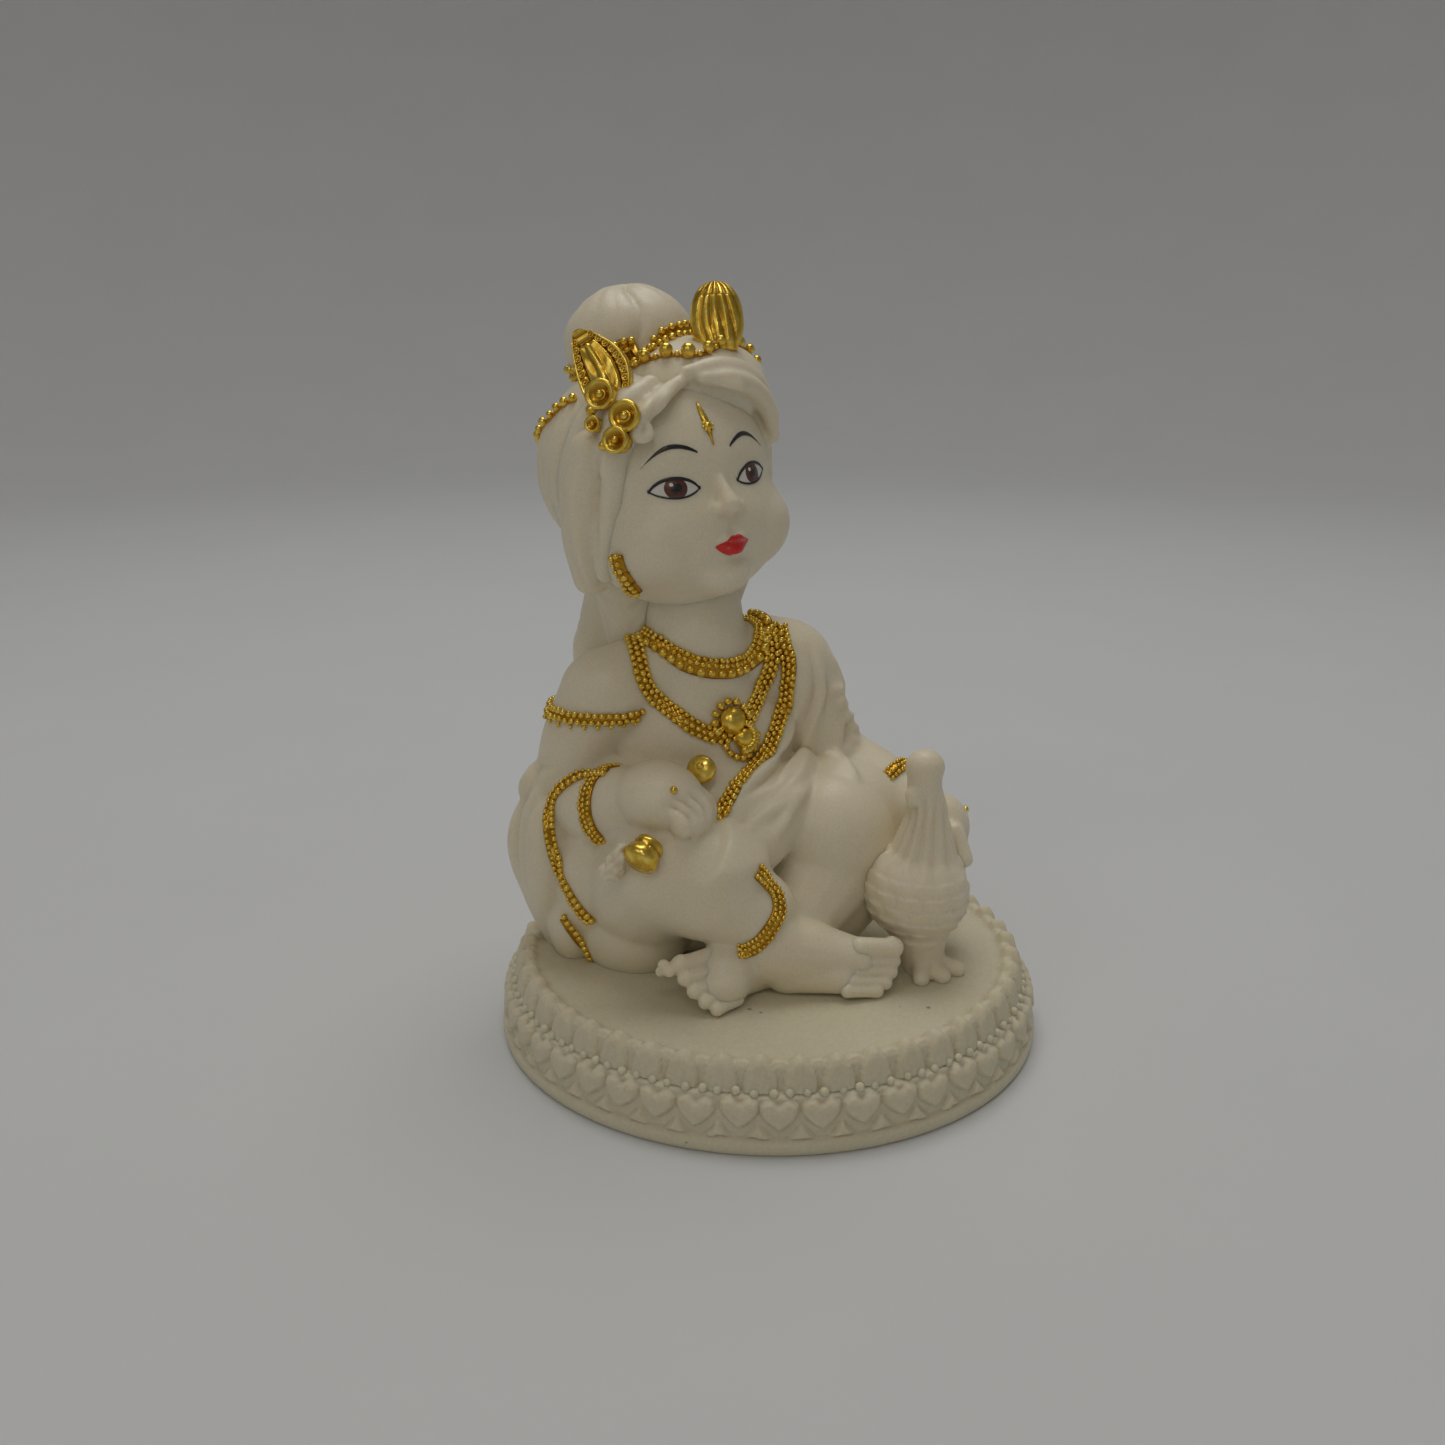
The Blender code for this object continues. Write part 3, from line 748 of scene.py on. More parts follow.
def frill():
    """The shawl's gathered edge, one short pleat at each place."""
    pleats = []
    for x, y, z in FRILL:
        line = [(x - 1.6, y + 0.8, z + 0.6), (x, y + 0.4, z), (x + 2.0, y + 1.8, z - 0.5)]
        pleats += limb(line, [0.5, 1.05, 0.6])
    return pleats


def carved_body():
    body = fused("trunk", trunk() + right_arm() + left_arm() + legs(), 0.5, 14)
    drape(body)
    forms = right_hand() + left_hand() + feet() + hanging_cloth() + lap_cloth() + frill()
    whole = fused("carved_body", [body] + forms, 0.4, 7)
    carve(whole, FOLDS + CLOTH_FOLDS + HAND_CREASES)
    ease(whole, 1)
    return whole


# Head

def face_forms():
    forms = balls(((0, 1.5, 1.5), (15.8, 16.5, 16)), ((0, -4, -5.5), (14.8, 12, 11.5)), inside=HEAD)
    forms += balls(*(((side * 6.6, -7.8, -6.8), (7.6, 6.8, 6.6)) for side in (-1, 1)), inside=HEAD)
    return forms + ball((0, -12, -12), (4.4, 3.6, 3.4), inside=HEAD)


def small_features():
    """A small nose, lips and ears of plain proportions."""
    upper = [(-2.7, -14.9, -8.0), (-1.2, -15.9, -7.35), (0, -16.1, -7.5), (1.2, -15.9, -7.35),
        (2.7, -14.9, -8.0)]
    lower = [(-2.2, -15.0, -8.5), (0, -15.9, -9.0), (2.2, -15.0, -8.5)]
    forms = limb([(0, -14.0, 2.0), (0, -15.2, -0.2), (0, -16.3, -2.7)], [0.5, 0.95, 1.55],
        inside=HEAD)
    forms += balls(*(((side * 1.7, -15.6, -3.1), (1.05, 1.2, 0.95)) for side in (-1, 1)),
        inside=HEAD)
    forms += limbs((upper, [0.3, 0.75, 0.7, 0.75, 0.3]), (lower, [0.35, 0.9, 0.35]), inside=HEAD)
    return forms + balls(*(((side * 15.2, 0.5, -4.5), (1.6, 2.6, 4)) for side in (-1, 1)),
        inside=HEAD)


FACE_TOUCHES = (
    ((-6.2, -14.2, 0.6), -0.9, (4.0, 4, 2.6)),
    ((6.2, -14.2, 0.6), -0.9, (4.0, 4, 2.6)),
    ((-6.2, -13.8, 0.2), 0.9, (2.7, 3, 1.6)),
    ((6.2, -13.8, 0.2), 0.9, (2.7, 3, 1.6)),
    ((-0.85, -17.4, -4.1), -0.35, (0.5, 1.2, 0.45)),
    ((0.85, -17.4, -4.1), -0.35, (0.5, 1.2, 0.45)),
    ((0, -16.2, -5.6), -0.25, (0.6, 1.5, 0.9)),
    ((0, -15.6, -10.6), -0.35, (2.4, 1.5, 0.8)),
)


def carved_head():
    head = fused("head", face_forms(), 0.45, 14)
    whole = fused("carved_head", [head] + small_features(), 0.3, 6)
    dabs(whole, HEAD, FACE_TOUCHES)
    parting = [HEAD @ Vector(at) for at in ((-2.5, -15.6, -8.05), (0, -16.7, -8.15),
        (2.5, -15.6, -8.05))]
    carve(whole, ((parting, -0.35, 0.35),))
    return whole


LOCKS = (
    ((-13, 19, 66), (-12.6, 20.6, 59), (-13.4, 22.6, 50), (-14.8, 24, 41), (-13, 24, 31)),
    ((-8, 20, 66), (-7.4, 21.6, 57), (-8, 24, 47), (-7, 25.4, 38), (-8, 24.6, 28)),
    ((-4, 18, 66), (-2.6, 19.4, 57), (-2, 21.6, 48), (-3, 23.4, 39), (-2, 23, 31)),
)

BUN_MIDDLE = np.array((2.6, 8.2, 20.4))


def hair_mass():
    forms = balls(((1, 4, 3), (16.8, 16.4, 15.4)), ((5.4, -1.6, 12.0), (11.8, 9.8, 7.7)),
        inside=HEAD)
    forms += limbs(*((lock, [9, 7.2, 5.4, 5.4, 3]) for lock in LOCKS))
    forms += limbs(
        ([(-18.4, 12.4, 60), (-15.6, 15, 53), (-13.8, 16, 46)], [4.6, 4.4, 4.2]),
        ([(2.4, 15.6, 60), (0.4, 17, 53), (-1.6, 18, 46)], [4.6, 4.4, 4.2]),
    )
    return forms + limbs(
        ([(-13.6, -5, 7), (-14.8, -3, 1), (-15, -1.6, -5), (-13.8, 1, -11)], [2.8, 3, 2.8, 2.2]),
        ([(13.8, -3.6, 7), (15.0, -0.6, 1), (15.0, 1.2, -5), (14, 3, -11)], [2.8, 3, 2.8, 2.2]),
        inside=HEAD,
    )


FRINGE = (
    (((-1.5, -10.6, 13.9), (-5.0, -11.6, 12.6), (-8.2, -12.0, 10.6), (-10.2, -11.6, 8.2)),
      (0.9, 1.2, 1.2, 0.9)),
    (((-5, -8.9, 14.2), (-9.5, -9.2, 11.8), (-12.0, -8.8, 8.2), (-13.0, -8.4, 4.0)),
      (1.3, 1.9, 1.9, 1.4)),
    (((-11.2, -9.4, 8.0), (-12.2, -8.3, 3.4), (-12.9, -7.0, -1.2), (-13.6, -5.6, -5.6),
      (-13.2, -3.2, -10.0)), (1.6, 1.8, 1.7, 1.6, 1.3)),
    (((-7.2, -12.2, 12.2), (-8.8, -12.9, 10.9), (-10.2, -12.4, 9.3), (-10.2, -12.6, 7.8),
      (-8.8, -13.2, 7.8), (-8.6, -13.2, 9.2)), (0.5, 0.75, 0.8, 0.75, 0.65, 0.4)),
    (((-3.4, -12.0, 13.2), (-5.6, -12.8, 12.0), (-7.0, -13.0, 10.6)), (0.5, 0.75, 0.4)),
    (((1.5, -11.8, 13.9), (6, -12.2, 13.2), (10.2, -11.0, 11.2), (13.2, -9.2, 8.0),
      (14.6, -7.4, 4.4)), (0.8, 1.3, 1.5, 1.4, 1.1)),
    (((0, -10.4, 14.9), (5, -10.5, 14.9), (10, -9.2, 13.2), (14, -6, 9.6), (15.8, -2.6, 5)),
      (1.1, 1.7, 1.9, 2.0, 1.8)),
    (((14.0, -6.0, 6.6), (14.4, -4.0, 1.6), (14.0, -2.4, -4.6), (13.0, -0.4, -10)),
      (1.4, 1.8, 1.8, 1.4)),
    (((3.4, -12.8, 13.0), (5.8, -13.2, 12.2), (7.6, -12.8, 11.4)), (0.5, 0.7, 0.4)),
    (((8.6, -12.1, 11.8), (10.6, -11.6, 10.2), (11.8, -11.2, 8.8)), (0.5, 0.7, 0.4)),
)


def carved_hair():
    mass = fused("hair", hair_mass(), 0.45, 14)
    forms = limbs(*FRINGE, inside=HEAD) + ball(BUN_MIDDLE, (9.8, 9.6, 7.9), inside=HEAD)
    forms += limb([(-18.9, 6.6, 75.4), (-18.9, 7.6, 78.6), (-20.2, 11, 83)], [3.6, 4.2, 2.6])
    whole = fused("carved_hair", [mass] + forms, 0.38, 5)
    comb(whole)
    return whole


def comb(hair):
    """Runs soft strands over the hair: round the bun, and down the sides and back."""
    points = skin_of(hair)[0]
    x, y, drop = points.T
    local = seen_from(points, HEAD)
    bun_x, bun_y, bun_z = (local - BUN_MIDDLE).T
    reach = np.hypot(bun_x, bun_y)
    in_bun = np.clip((bun_z + 4.0) / 1.6, 0, 1) * (reach < 11.5)
    turn = np.arctan2(bun_x - 1.2, bun_y + 1.0)
    wind = turn * 2.0 + 0.22 * reach + 0.12 * bun_z
    lobes = np.abs(np.sin(wind)) ** 0.6
    fine = np.abs(np.sin(wind * 4.0 + 0.5 * np.sin(turn * 3)))
    bun = (0.9 * lobes + 0.16 * fine - 0.8) * np.clip(reach / 3.0, 0.2, 1)
    side = np.arctan2(x + 9, y - 8)
    wave = side * 13 + 0.9 * np.sin(drop / 6.5 + side * 2) + 0.35 * np.sin(drop / 2.3)
    strands = 0.42 * np.abs(np.sin(wave)) + 0.16 * np.abs(np.sin(wave * 2.6 + drop / 5))
    low = np.clip((15.5 - local[:, 2]) / 6, 0.1, 1)
    front = np.clip((local[:, 1] + 13.0) / 6.0, 0.25, 1)
    raise_skin(hair, bun * in_bun + (strands - 0.3) * low * front * (1 - in_bun))


# Bird

def carved_bird():
    forms = ball((15.2, -16.2, 11.8), (7.2, 8.2, 7.2))
    neck = [(15.6, -16.6, 12.5), (16.2, -16.6, 18.5), (16.3, -16.7, 23.5), (15.5, -16.9, 28)]
    forms += limbs((neck, [6.6, 4.4, 2.9, 2.4]),
        ([(15.5, -16.9, 27.4), (15.4, -17, 30)], [2.5, 2.5]))
    forms += balls(((15.4, -17, 30.6), (2.8, 2.8, 2.6)), ((13.4, -17.6, 26.8), (1.5, 1.4, 1.7)))
    forms += limbs(
        ([(20, -12, 13), (23.4, -12.6, 9.6)], [5, 3.2]),
        ([(19.6, -18, 15), (21.2, -14.6, 10.4), (23.0, -11.6, 6.0)], [2.2, 3.2, 2.0]),
        ([(15.2, -17.6, 6), (15.4, -18.4, 0)], [4.2, 2.8]),
    )
    for spread in (-1, 0, 1):
        claw = (15.8 + 3.2 * spread, -22.0 - 0.8 * (1 - abs(spread)), 0.7)
        forms += limb([(15.4, -18.4, 1.4), claw], [1.9, 1.25])
    bird = fused("carved_bird", forms, 0.32, 6)
    feather(bird)
    return bird


def feather(bird):
    """Small overlapping feathers over the body and streaks down the neck."""
    x, y, z = skin_of(bird)[0].T
    turn = np.arctan2(x - 15.4, y + 16.4)
    rows = z / 1.9
    scales = np.abs(np.sin(turn * 6 + pi / 2 * (np.floor(rows) % 2))) ** 0.7 * (rows % 1)
    body = np.clip((17 - z) / 3, 0, 1) * np.clip((z - 4) / 2, 0, 1)
    streaks = 0.2 * np.sin(turn * 12 + z * 0.5)
    neck = np.clip((z - 14) / 3, 0, 1) * np.clip((27 - z) / 2, 0, 1)
    raise_skin(bird, 0.42 * scales * body + streaks * neck)


# Jewellery

class Ground:
    """The carved surfaces that jewellery lies on."""

    def __init__(self, *carvings):
        parts = [(skin_of(made)[0],
            [face.vertices for face in made.data.polygons]) for made in carvings]
        points, faces = joined(parts)
        self.tree = BVHTree.FromPolygons(points.tolist(), faces)

    def rest(self, at):
        """The surface's nearest place to a point, and its outward direction there."""
        place, out = self.tree.find_nearest(Vector(at))[:2]
        return np.array(place), np.array(out)

    def route(self, knots, step, closed=False):
        """Even places on the surface along the knots, with outward and sideways directions."""
        path = np.array([self.rest(at)[0] for at in rounded_path(knots, 0.4)])
        for _ in range(3):
            path[1:-1] = (path[:-2] + 2 * path[1:-1] + path[2:]) / 4
        gaps = np.linalg.norm(np.diff(path, axis=0), axis=1)
        run = np.concatenate([[0], np.cumsum(gaps)])
        where = np.linspace(0, run[-1], max(2, round(run[-1] / step)) + 1)
        if closed:
            where = where[:-1]
        path = np.stack([np.interp(where, run, path[:, i]) for i in range(3)], axis=1)
        rests = [self.rest(at) for at in path]
        places = np.array([rest[0] for rest in rests])
        outward = np.array([rest[1] for rest in rests])
        for _ in range(4):
            if closed:
                outward = outward + np.roll(outward, 1, axis=0) + np.roll(outward, -1, axis=0)
            else:
                outward[1:-1] = outward[:-2] + outward[1:-1] + outward[2:]
            outward /= np.linalg.norm(outward, axis=1)[:, None]
        if closed:
            along = np.roll(places, -1, axis=0) - np.roll(places, 1, axis=0)
        else:
            along = np.gradient(places, axis=0)
        along /= np.linalg.norm(along, axis=1)[:, None] + 1e-9
        across = np.cross(along, outward)
        across /= np.linalg.norm(across, axis=1)[:, None] + 1e-9
        return places, outward, across


def unit_sphere(segments, rings):
    tilts = [pi * row / rings for row in range(rings + 1)]
    return turned([(sin(tilt), cos(tilt)) for tilt in tilts], segments)


BEAD = unit_sphere(10, 6)
BIG_BEAD = unit_sphere(16, 10)


def bead(at, radius, kind=BEAD):
    return np.asarray(at) + kind[0] * radius, kind[1]


STRAP_SIDES = 12


def strap(ground, knots, width, height, closed=False):
    """A low rounded band on the surface."""
    places, outward, across = (value[:, None, :] for value in ground.route(knots, 0.5, closed))
    turns = (2 * pi * np.arange(STRAP_SIDES) / STRAP_SIDES)[None, :, None]
    rings = places + across * (np.cos(turns) * width / 2) + outward * (np.sin(turns) * height)
    return tube(rings, closed)


def bead_rows(ground, knots, rows, lift, closed=False):
    """Rows of little beads side by side along the surface, given as (offset, radius, pitch)."""
    made = []
    for row, (offset, radius, pitch) in enumerate(rows):
        places, outward, across = ground.route(knots, pitch, closed)
        if row % 2:
            after = np.roll(places, -1, axis=0) if closed else np.vstack([places[1:], places[-1:]])
            places = (places + after) / 2
        for place, out, side in zip(places, outward, across):
            spot = place + side * (offset + rng.normal(0, 0.05))
            seat, _ = ground.rest(spot)
            if np.linalg.norm(seat - spot) > 1.2:
                seat = spot
            size = radius * rng.uniform(0.86, 1.1)
            made.append(bead(seat + out * (lift + rng.normal(0, 0.03)), size))
    return made


NECKLACE = (
    (-7, 19.6, 47.6), (-12.5, 18.4, 47), (-14.8, 13.6, 46.6), (-13.7, 7.9, 46.1),
    (-10.5, 4.8, 43.9), (-5.7, 3.7, 42.7), (-1.1, 4.6, 43.1), (1.6, 5.4, 45.2),
    (3.1, 7.8, 47.7), (2.6, 13, 48.4), (-1, 18, 48), (-7, 19.6, 47.6),
)
LONG_NECKLACE = (
    (-16, 12, 46.6), (-17.3, 6.4, 42.6), (-15.5, 5, 39.1), (-10.7, 1.4, 34.8), (-6, 0.5, 33.9),
    (-1.8, 1.9, 36.9), (1, 3.6, 39.6), (2.4, 3.9, 43), (3.4, 7, 46.6),
)
SHAWL_BORDER = (
    (5, 6.4, 47), (4.4, 2.6, 42.6), (3.8, 2.2, 37.5), (1.7, 1.2, 33.3),
    (-2.5, -1.6, 29), (-8, -4.4, 26.2), (-12.4, -6, 24.4),
)
CLOTH_EDGE = (
    (-24.4, 3.6, 29.9), (-25.3, 6.5, 29.0), (-27.0, 7.6, 28.7), (-28.9, 8.3, 27.5),
    (-30.1, 9.2, 25.8),
    (-30.9, 9.5, 23.3), (-31.3, 8.6, 20.9), (-31.1, 8.0, 18.0), (-30.4, 7.3, 14.7),
    (-29.9, 5.4, 12.3),
    (-28.9, 4.3, 10.0), (-27.4, 3.8, 8.0),
)
LOW_CLOTH_EDGE = ((-30.1, 7.5, 7.4), (-29.2, 6.7, 5.6), (-27.9, 6.6, 3.3), (-26.5, 6.5, 0.8))
ARMLET = ((-22, 13, 36.8), (0, 0, -1))
BRACELET = ((-23.2, 4.6, 24.8), (0.35, -0.9, 0.25))
ANKLET = (
    (-9.7, -14.9, 18.9), (-8.2, -14.7, 17.5), (-7.3, -15.0, 16.1), (-7.2, -15.9, 14.6),
    (-7.6, -16.8, 13.3),
    (-8.9, -17.3, 11.4), (-10.4, -16.9, 9.7), (-11.7, -15.4, 8.1), (-12.9, -14.1, 7.2),
)
BANGLE = ((20.4, -2.4, 23.2), (0.4, -0.84, -0.42))
BUN_BAND = (
    (-19.2, 27.5, 82.8), (-17.6, 19, 85.4), (-15, 13.5, 87.5), (-11.3, 13.6, 88.1), (-8, 15.3, 89),
    (-3.2, 18.5, 89.5), (0, 25, 88.4), (-4, 32, 85), (-12, 33.5, 82.6), (-19.2, 27.5, 82.8),
)


def beaded(name, ground, knots, rows, width, closed=False, height=0.3, lift=0.34):
    """A gold strap covered in rows of small beads."""
    parts = [strap(ground, knots, width, height, closed)]
    publish_gold(name, parts + bead_rows(ground, knots, rows, lift, closed))


def around(ground, middle, axis, count=40):
    """Knots of a closed loop where rays from a limb's middle leave its skin."""
    turn = Vector(axis).to_track_quat("Z", "Y")
    knots = []
    for angle in 2 * pi * np.arange(count + 1) / count:
        ray = turn @ Vector((cos(angle), sin(angle), 0))
        knots.append(ground.tree.ray_cast(Vector(middle), ray)[0])
    return knots


THREE_ROWS = ((-0.84, 0.49, 0.98), (0, 0.49, 0.98), (0.84, 0.49, 0.98))
TWO_ROWS = ((-0.52, 0.5, 0.98), (0.52, 0.5, 0.98))
ARMLET_ROWS = TWO_ROWS + ((-1.25, 0.36, 1.9),)
COLLAR_ROWS = ((-1.25, 0.42, 0.9), (-0.45, 0.44, 0.92), (0.6, 0.68, 1.45))
FINE_ROWS = ((-0.78, 0.32, 0.7), (0, 0.34, 0.72), (0.78, 0.32, 0.7))
EDGE_ROWS = ((-0.45, 0.5, 0.98), (0.5, 0.36, 0.8))


def placed(form, at, out, size=1.0):
    """A form moved so that its upright axis points out of the surface."""
    turn = np.array(Vector(out).to_track_quat("Z", "Y").to_matrix())
    return np.asarray(at) + (form[0] * size) @ turn.T, form[1]


CUP = turned(
    ((0, -0.6), (0.8, -0.6), (1.0, 0.0), (0.98, 0.34), (0.84, 0.42), (0.66, 0.24), (0.4, 0.1),
      (0, 0.06))
)

HEAD_RING_RIGHT = (
    (-25.6, 25.0, 75.2), (-25.3, 22.6, 76.2), (-24.4, 20.7, 77.3), (-23.5, 18.1, 79.2),
    (-22.5, 15.7, 80.2),
)

HEAD_RING_FRONT = (
    (-15.8, 12.4, 84.0), (-13.8, 11.2, 84.9), (-11.4, 9.1, 86.0), (-8.9, 7.2, 86.2),
    (-6.5, 7.0, 86.6),
    (-3.6, 8.6, 87.4), (-1.6, 10.4, 87.6),
)

HEAD_RING_LEFT = (
    (-1.6, 10.4, 87.6), (3.2, 12.8, 86.4), (6.6, 14.8, 83.8), (9.2, 18.4, 80), (9.6, 21.6, 76.4),
)

HEAD_RING_BACK = (
    (9.6, 21.6, 76.4), (7.0, 29.0, 73.2), (-1.0, 34.0, 71.0), (-10.6, 35.6, 70.4),
    (-20, 32.0, 72.0), (-25.6, 25.0, 75.2),
)
DOME = turned(
    ((0, -0.5), (0.9, -0.5), (1.0, 0.0), (0.92, 0.4), (0.66, 0.7), (0.34, 0.86), (0, 0.9))
)
PENDANT_AT = (-5.4, 0.6, 34.6)


def cup_boss(at, out, radius):
    """A round cup with a bead in its middle."""
    return [placed(CUP, at, out, radius), bead(at + out * radius * 0.2, radius * 0.3)]


def pendant(ground):
    """A shell-shaped boss with a curling tail, set in a wreath of beads."""
    at, out = ground.rest(PENDANT_AT)
    up = np.array((0, 0, 1.0)) - out * out[2]
    up /= np.linalg.norm(up)
    side = np.cross(up, out)
    side *= 1 if side[0] > 0 else -1

    def ring(middle, radius, turns):
        return [middle + (side * cos(turn) + up * sin(turn)) * radius for turn in turns]

    shell = at + up * 1.1 - side * 0.5
    tail = at - up * 1.5 + side * 0.9 + out * 0.2
    parts = [placed(DOME, shell, out, 2.1), placed(DOME, tail, out, 1.6)]
    for i, spot in enumerate(ring(at - up * 1.3 + side * 0.5, 2.0, np.linspace(1.9, -1.5, 14))):
        parts.append(bead(spot + out * 0.85, 0.4 + 0.03 * i, BIG_BEAD))
    for spot in ring(shell, 2.9, np.linspace(-0.3, 3.6, 9)):
        parts.append(bead(ground.rest(spot)[0] + out * 0.5, 0.62))
    for spot in ring(at - up * 1.5 + side * 0.6, 2.8, np.linspace(3.5, 6.3, 8)):
        parts.append(bead(ground.rest(spot)[0] + out * 0.45, 0.58))
    publish_gold("pendant", parts)


LEAF_THICKNESS = 0.8


def leaf(own, length, outline, relief, bow=0.0, rows=44, columns=32):
    """A leaf-shaped plate that stands in its own frame, with a relief on its face."""
    front, back = [], []
    for i in range(rows + 1):
        u = i / rows
        for j in range(columns + 1):
            v = 2 * j / columns - 1
            across = v * outline(u) + bow * sin(pi * u)
            front.append((across, -relief(u, v), length * u))
            back.append((across, LEAF_THICKNESS, length * u))
    points, faces = slab(front, back, columns + 1)
    return np.array(points) @ np.array(own.to_3x3()).T + np.array(own.translation), faces


def right_outline(u):
    return 0.2 + 3.5 * sin(pi * min(1.0, 0.04 + 0.96 * u) ** 0.85) ** 0.75 if 0 < u < 1 else 0.2


def left_outline(u):
    if u < 0.4:
        return 2.5 + 1.2 * sin(pi / 2 * u / 0.4)
    return 0.15 + 3.55 * sqrt(max(0.0, 1 - ((u - 0.4) / 0.6) ** 2.4))


def right_leaf_relief(u, v):
    """A raised rim, a border of rings and a raised inner leaf with a vein."""
    edge = min(1 - abs(v), 2.4 * min(u, 1 - u))
    rim = 0.45 * (1 - soft_step(abs(edge - 0.07), 0.03, 0.09))
    inner = soft_step(edge, 0.4, 0.52)
    groove = 0.25 * (1 - soft_step(abs(edge - 0.4), 0.02, 0.08))
    vein = 0.3 * (1 - soft_step(abs(v), 0.03, 0.16))
    ribs = 0.05 * sin(22 * u - 8 * abs(v))
    return 0.3 + rim - groove + inner * (0.6 + vein + ribs)


def left_leaf_relief(u, v):
    """Long plumes that rise from the foot and lean in towards the tip."""
    crown = 1.2 * (1 - v * v) ** 0.5 * min(1, 4 * (1 - u) + 0.1, 5 * u + 0.4)
    lean = 7.0 * v * (1 + 0.5 * u) + 1.6 * sin(2.6 * u) + 0.8 * u
    plume = abs(sin(lean)) ** 0.8
    tips = 0.16 * sin(9 * u + 3.1 * abs(v)) * (1 - abs(v))
    return 0.2 + crown + 0.24 * plume + tips


def standing(bottom, tip, out):
    """A frame whose Z runs from the bottom to the tip and whose -Y faces out."""
    rise = (Vector(tip) - Vector(bottom)).normalized()
    face = (Vector(out) - rise * rise.dot(Vector(out))).normalized()
    made = Matrix((rise.cross(face), -face, rise)).transposed().to_4x4()
    if made.to_3x3().determinant() < 0:
        made = Matrix((face.cross(rise), -face, rise)).transposed().to_4x4()
    made.translation = Vector(bottom)
    return made


def right_leaf():
    bottom, tip = Vector((-20.8, 5.7, 78.9)), Vector((-23.2, 12.5, 89.5))
    own = standing(bottom, tip, (-0.66, -0.68, 0.3))
    face = own.to_3x3() @ Vector((0, -1, 0))
    length = (tip - bottom).length
    bow = 0.9
    parts = [leaf(own, length, right_outline, right_leaf_relief, bow)]
    for side in (-1, 1):
        for u in 0.2 + 0.68 * np.arange(9) / 8:
            across = side * right_outline(u) * 0.76 + bow * sin(pi * u)
            spot = own @ Vector((across, -0.4, length * u))
            parts += [placed(CUP, spot, face, 0.5), bead(spot, 0.2)]
    publish_gold("right_leaf", parts)


def left_leaf():
    bottom, tip = Vector((-3.6, 9.0, 86.6)), Vector((-3.0, 11.4, 95.9))
    own = standing(bottom, tip, (-0.45, -0.85, 0.25))
    publish_gold("left_leaf", [leaf(own, (tip - bottom).length, left_outline, left_leaf_relief)])


def over_left_ear(at):
    """The left side's place for one on the head's right, a little further back."""
    own = HEAD.inverted() @ Vector(at)
    mirrored = HEAD @ Vector((-own.x, own.y, own.z))
    return np.array(mirrored) + np.array(HEAD.to_3x3() @ Vector((1.0, 4.6, 0)))


CROWN_CUPS = (
    ((-22.6, 5.7, 81.4), 2.1), ((-24.1, 5.1, 77.7), 1.1),
    ((-20.7, 2.2, 78.8), 2.15), ((-22.2, 2.0, 75.8), 1.8),
)

CROWN_BEADS = (
    ((-21.4, 3.7, 77.2), 0.8), ((-23.8, 6.3, 79.4), 0.8),
    ((-19.6, 3.7, 76.6), 0.7), ((-23.4, 3.5, 75.0), 0.7),
)


def crown_bosses():
    parts = []
    for seat in (np.array, over_left_ear):
        out = seat((-0.72, -0.66, 0.2)) - seat((0, 0, 0))
        out /= np.linalg.norm(out)
        for at, radius in CROWN_CUPS:
            place = seat(at) + out * 0.6
            parts += cup_boss(place, out, radius)
            parts.append(placed(DOME, place - out * 1.4, out, radius * 0.9))
        parts += [bead(seat(at) + out * 0.6, radius) for at, radius in CROWN_BEADS]
    publish_gold("crown_bosses", parts)


def head_beads(hair):
    parts = []
    for line, offset, radius, pitch, lift in (
        (HEAD_RING_RIGHT, 0, 0.64, 1.8, 0.5),
        (HEAD_RING_FRONT, 0, 0.98, 2.9, 0.9),
        (HEAD_RING_FRONT, 0.2, 0.42, 1.45, 0.5),
        (HEAD_RING_LEFT, 0, 0.8, 2.6, 0.6),
        (HEAD_RING_BACK, 0, 0.64, 1.8, 0.5),
    ):
        parts += bead_rows(hair, line, ((offset, radius, pitch),), lift)
    for line in (HEAD_RING_RIGHT, HEAD_RING_FRONT, HEAD_RING_LEFT, HEAD_RING_BACK):
        parts.append(strap(hair, line, 0.7, 0.35))
    publish_gold("head_bead_ring", parts)
    band = bead_rows(hair, BUN_BAND, ((-0.68, 0.56, 1.4), (0.68, 0.56, 1.4)), 0.4, closed=True)
    publish_gold("bun_bead_band", band + [strap(hair, BUN_BAND, 2.0, 0.3, closed=True)])


EAR_RING = ((-22.4, 3.0, 60.6), (-21.6, 3.2, 58.4), (-20.6, 3.8, 56.4), (-19.0, 4.8, 54.8))


def ear_rings(ground):
    parts = []
    for seat in (tuple, over_left_ear):
        line = [seat(at) for at in EAR_RING]
        parts.append(strap(ground, line, 2.3, 0.8))
        parts += bead_rows(ground, line, ((-0.6, 0.45, 0.95), (0.6, 0.45, 0.95)), 0.8)
        parts.append(strap(ground, line[1:3], 2.7, 1.0))
    publish_gold("ear_rings", parts)


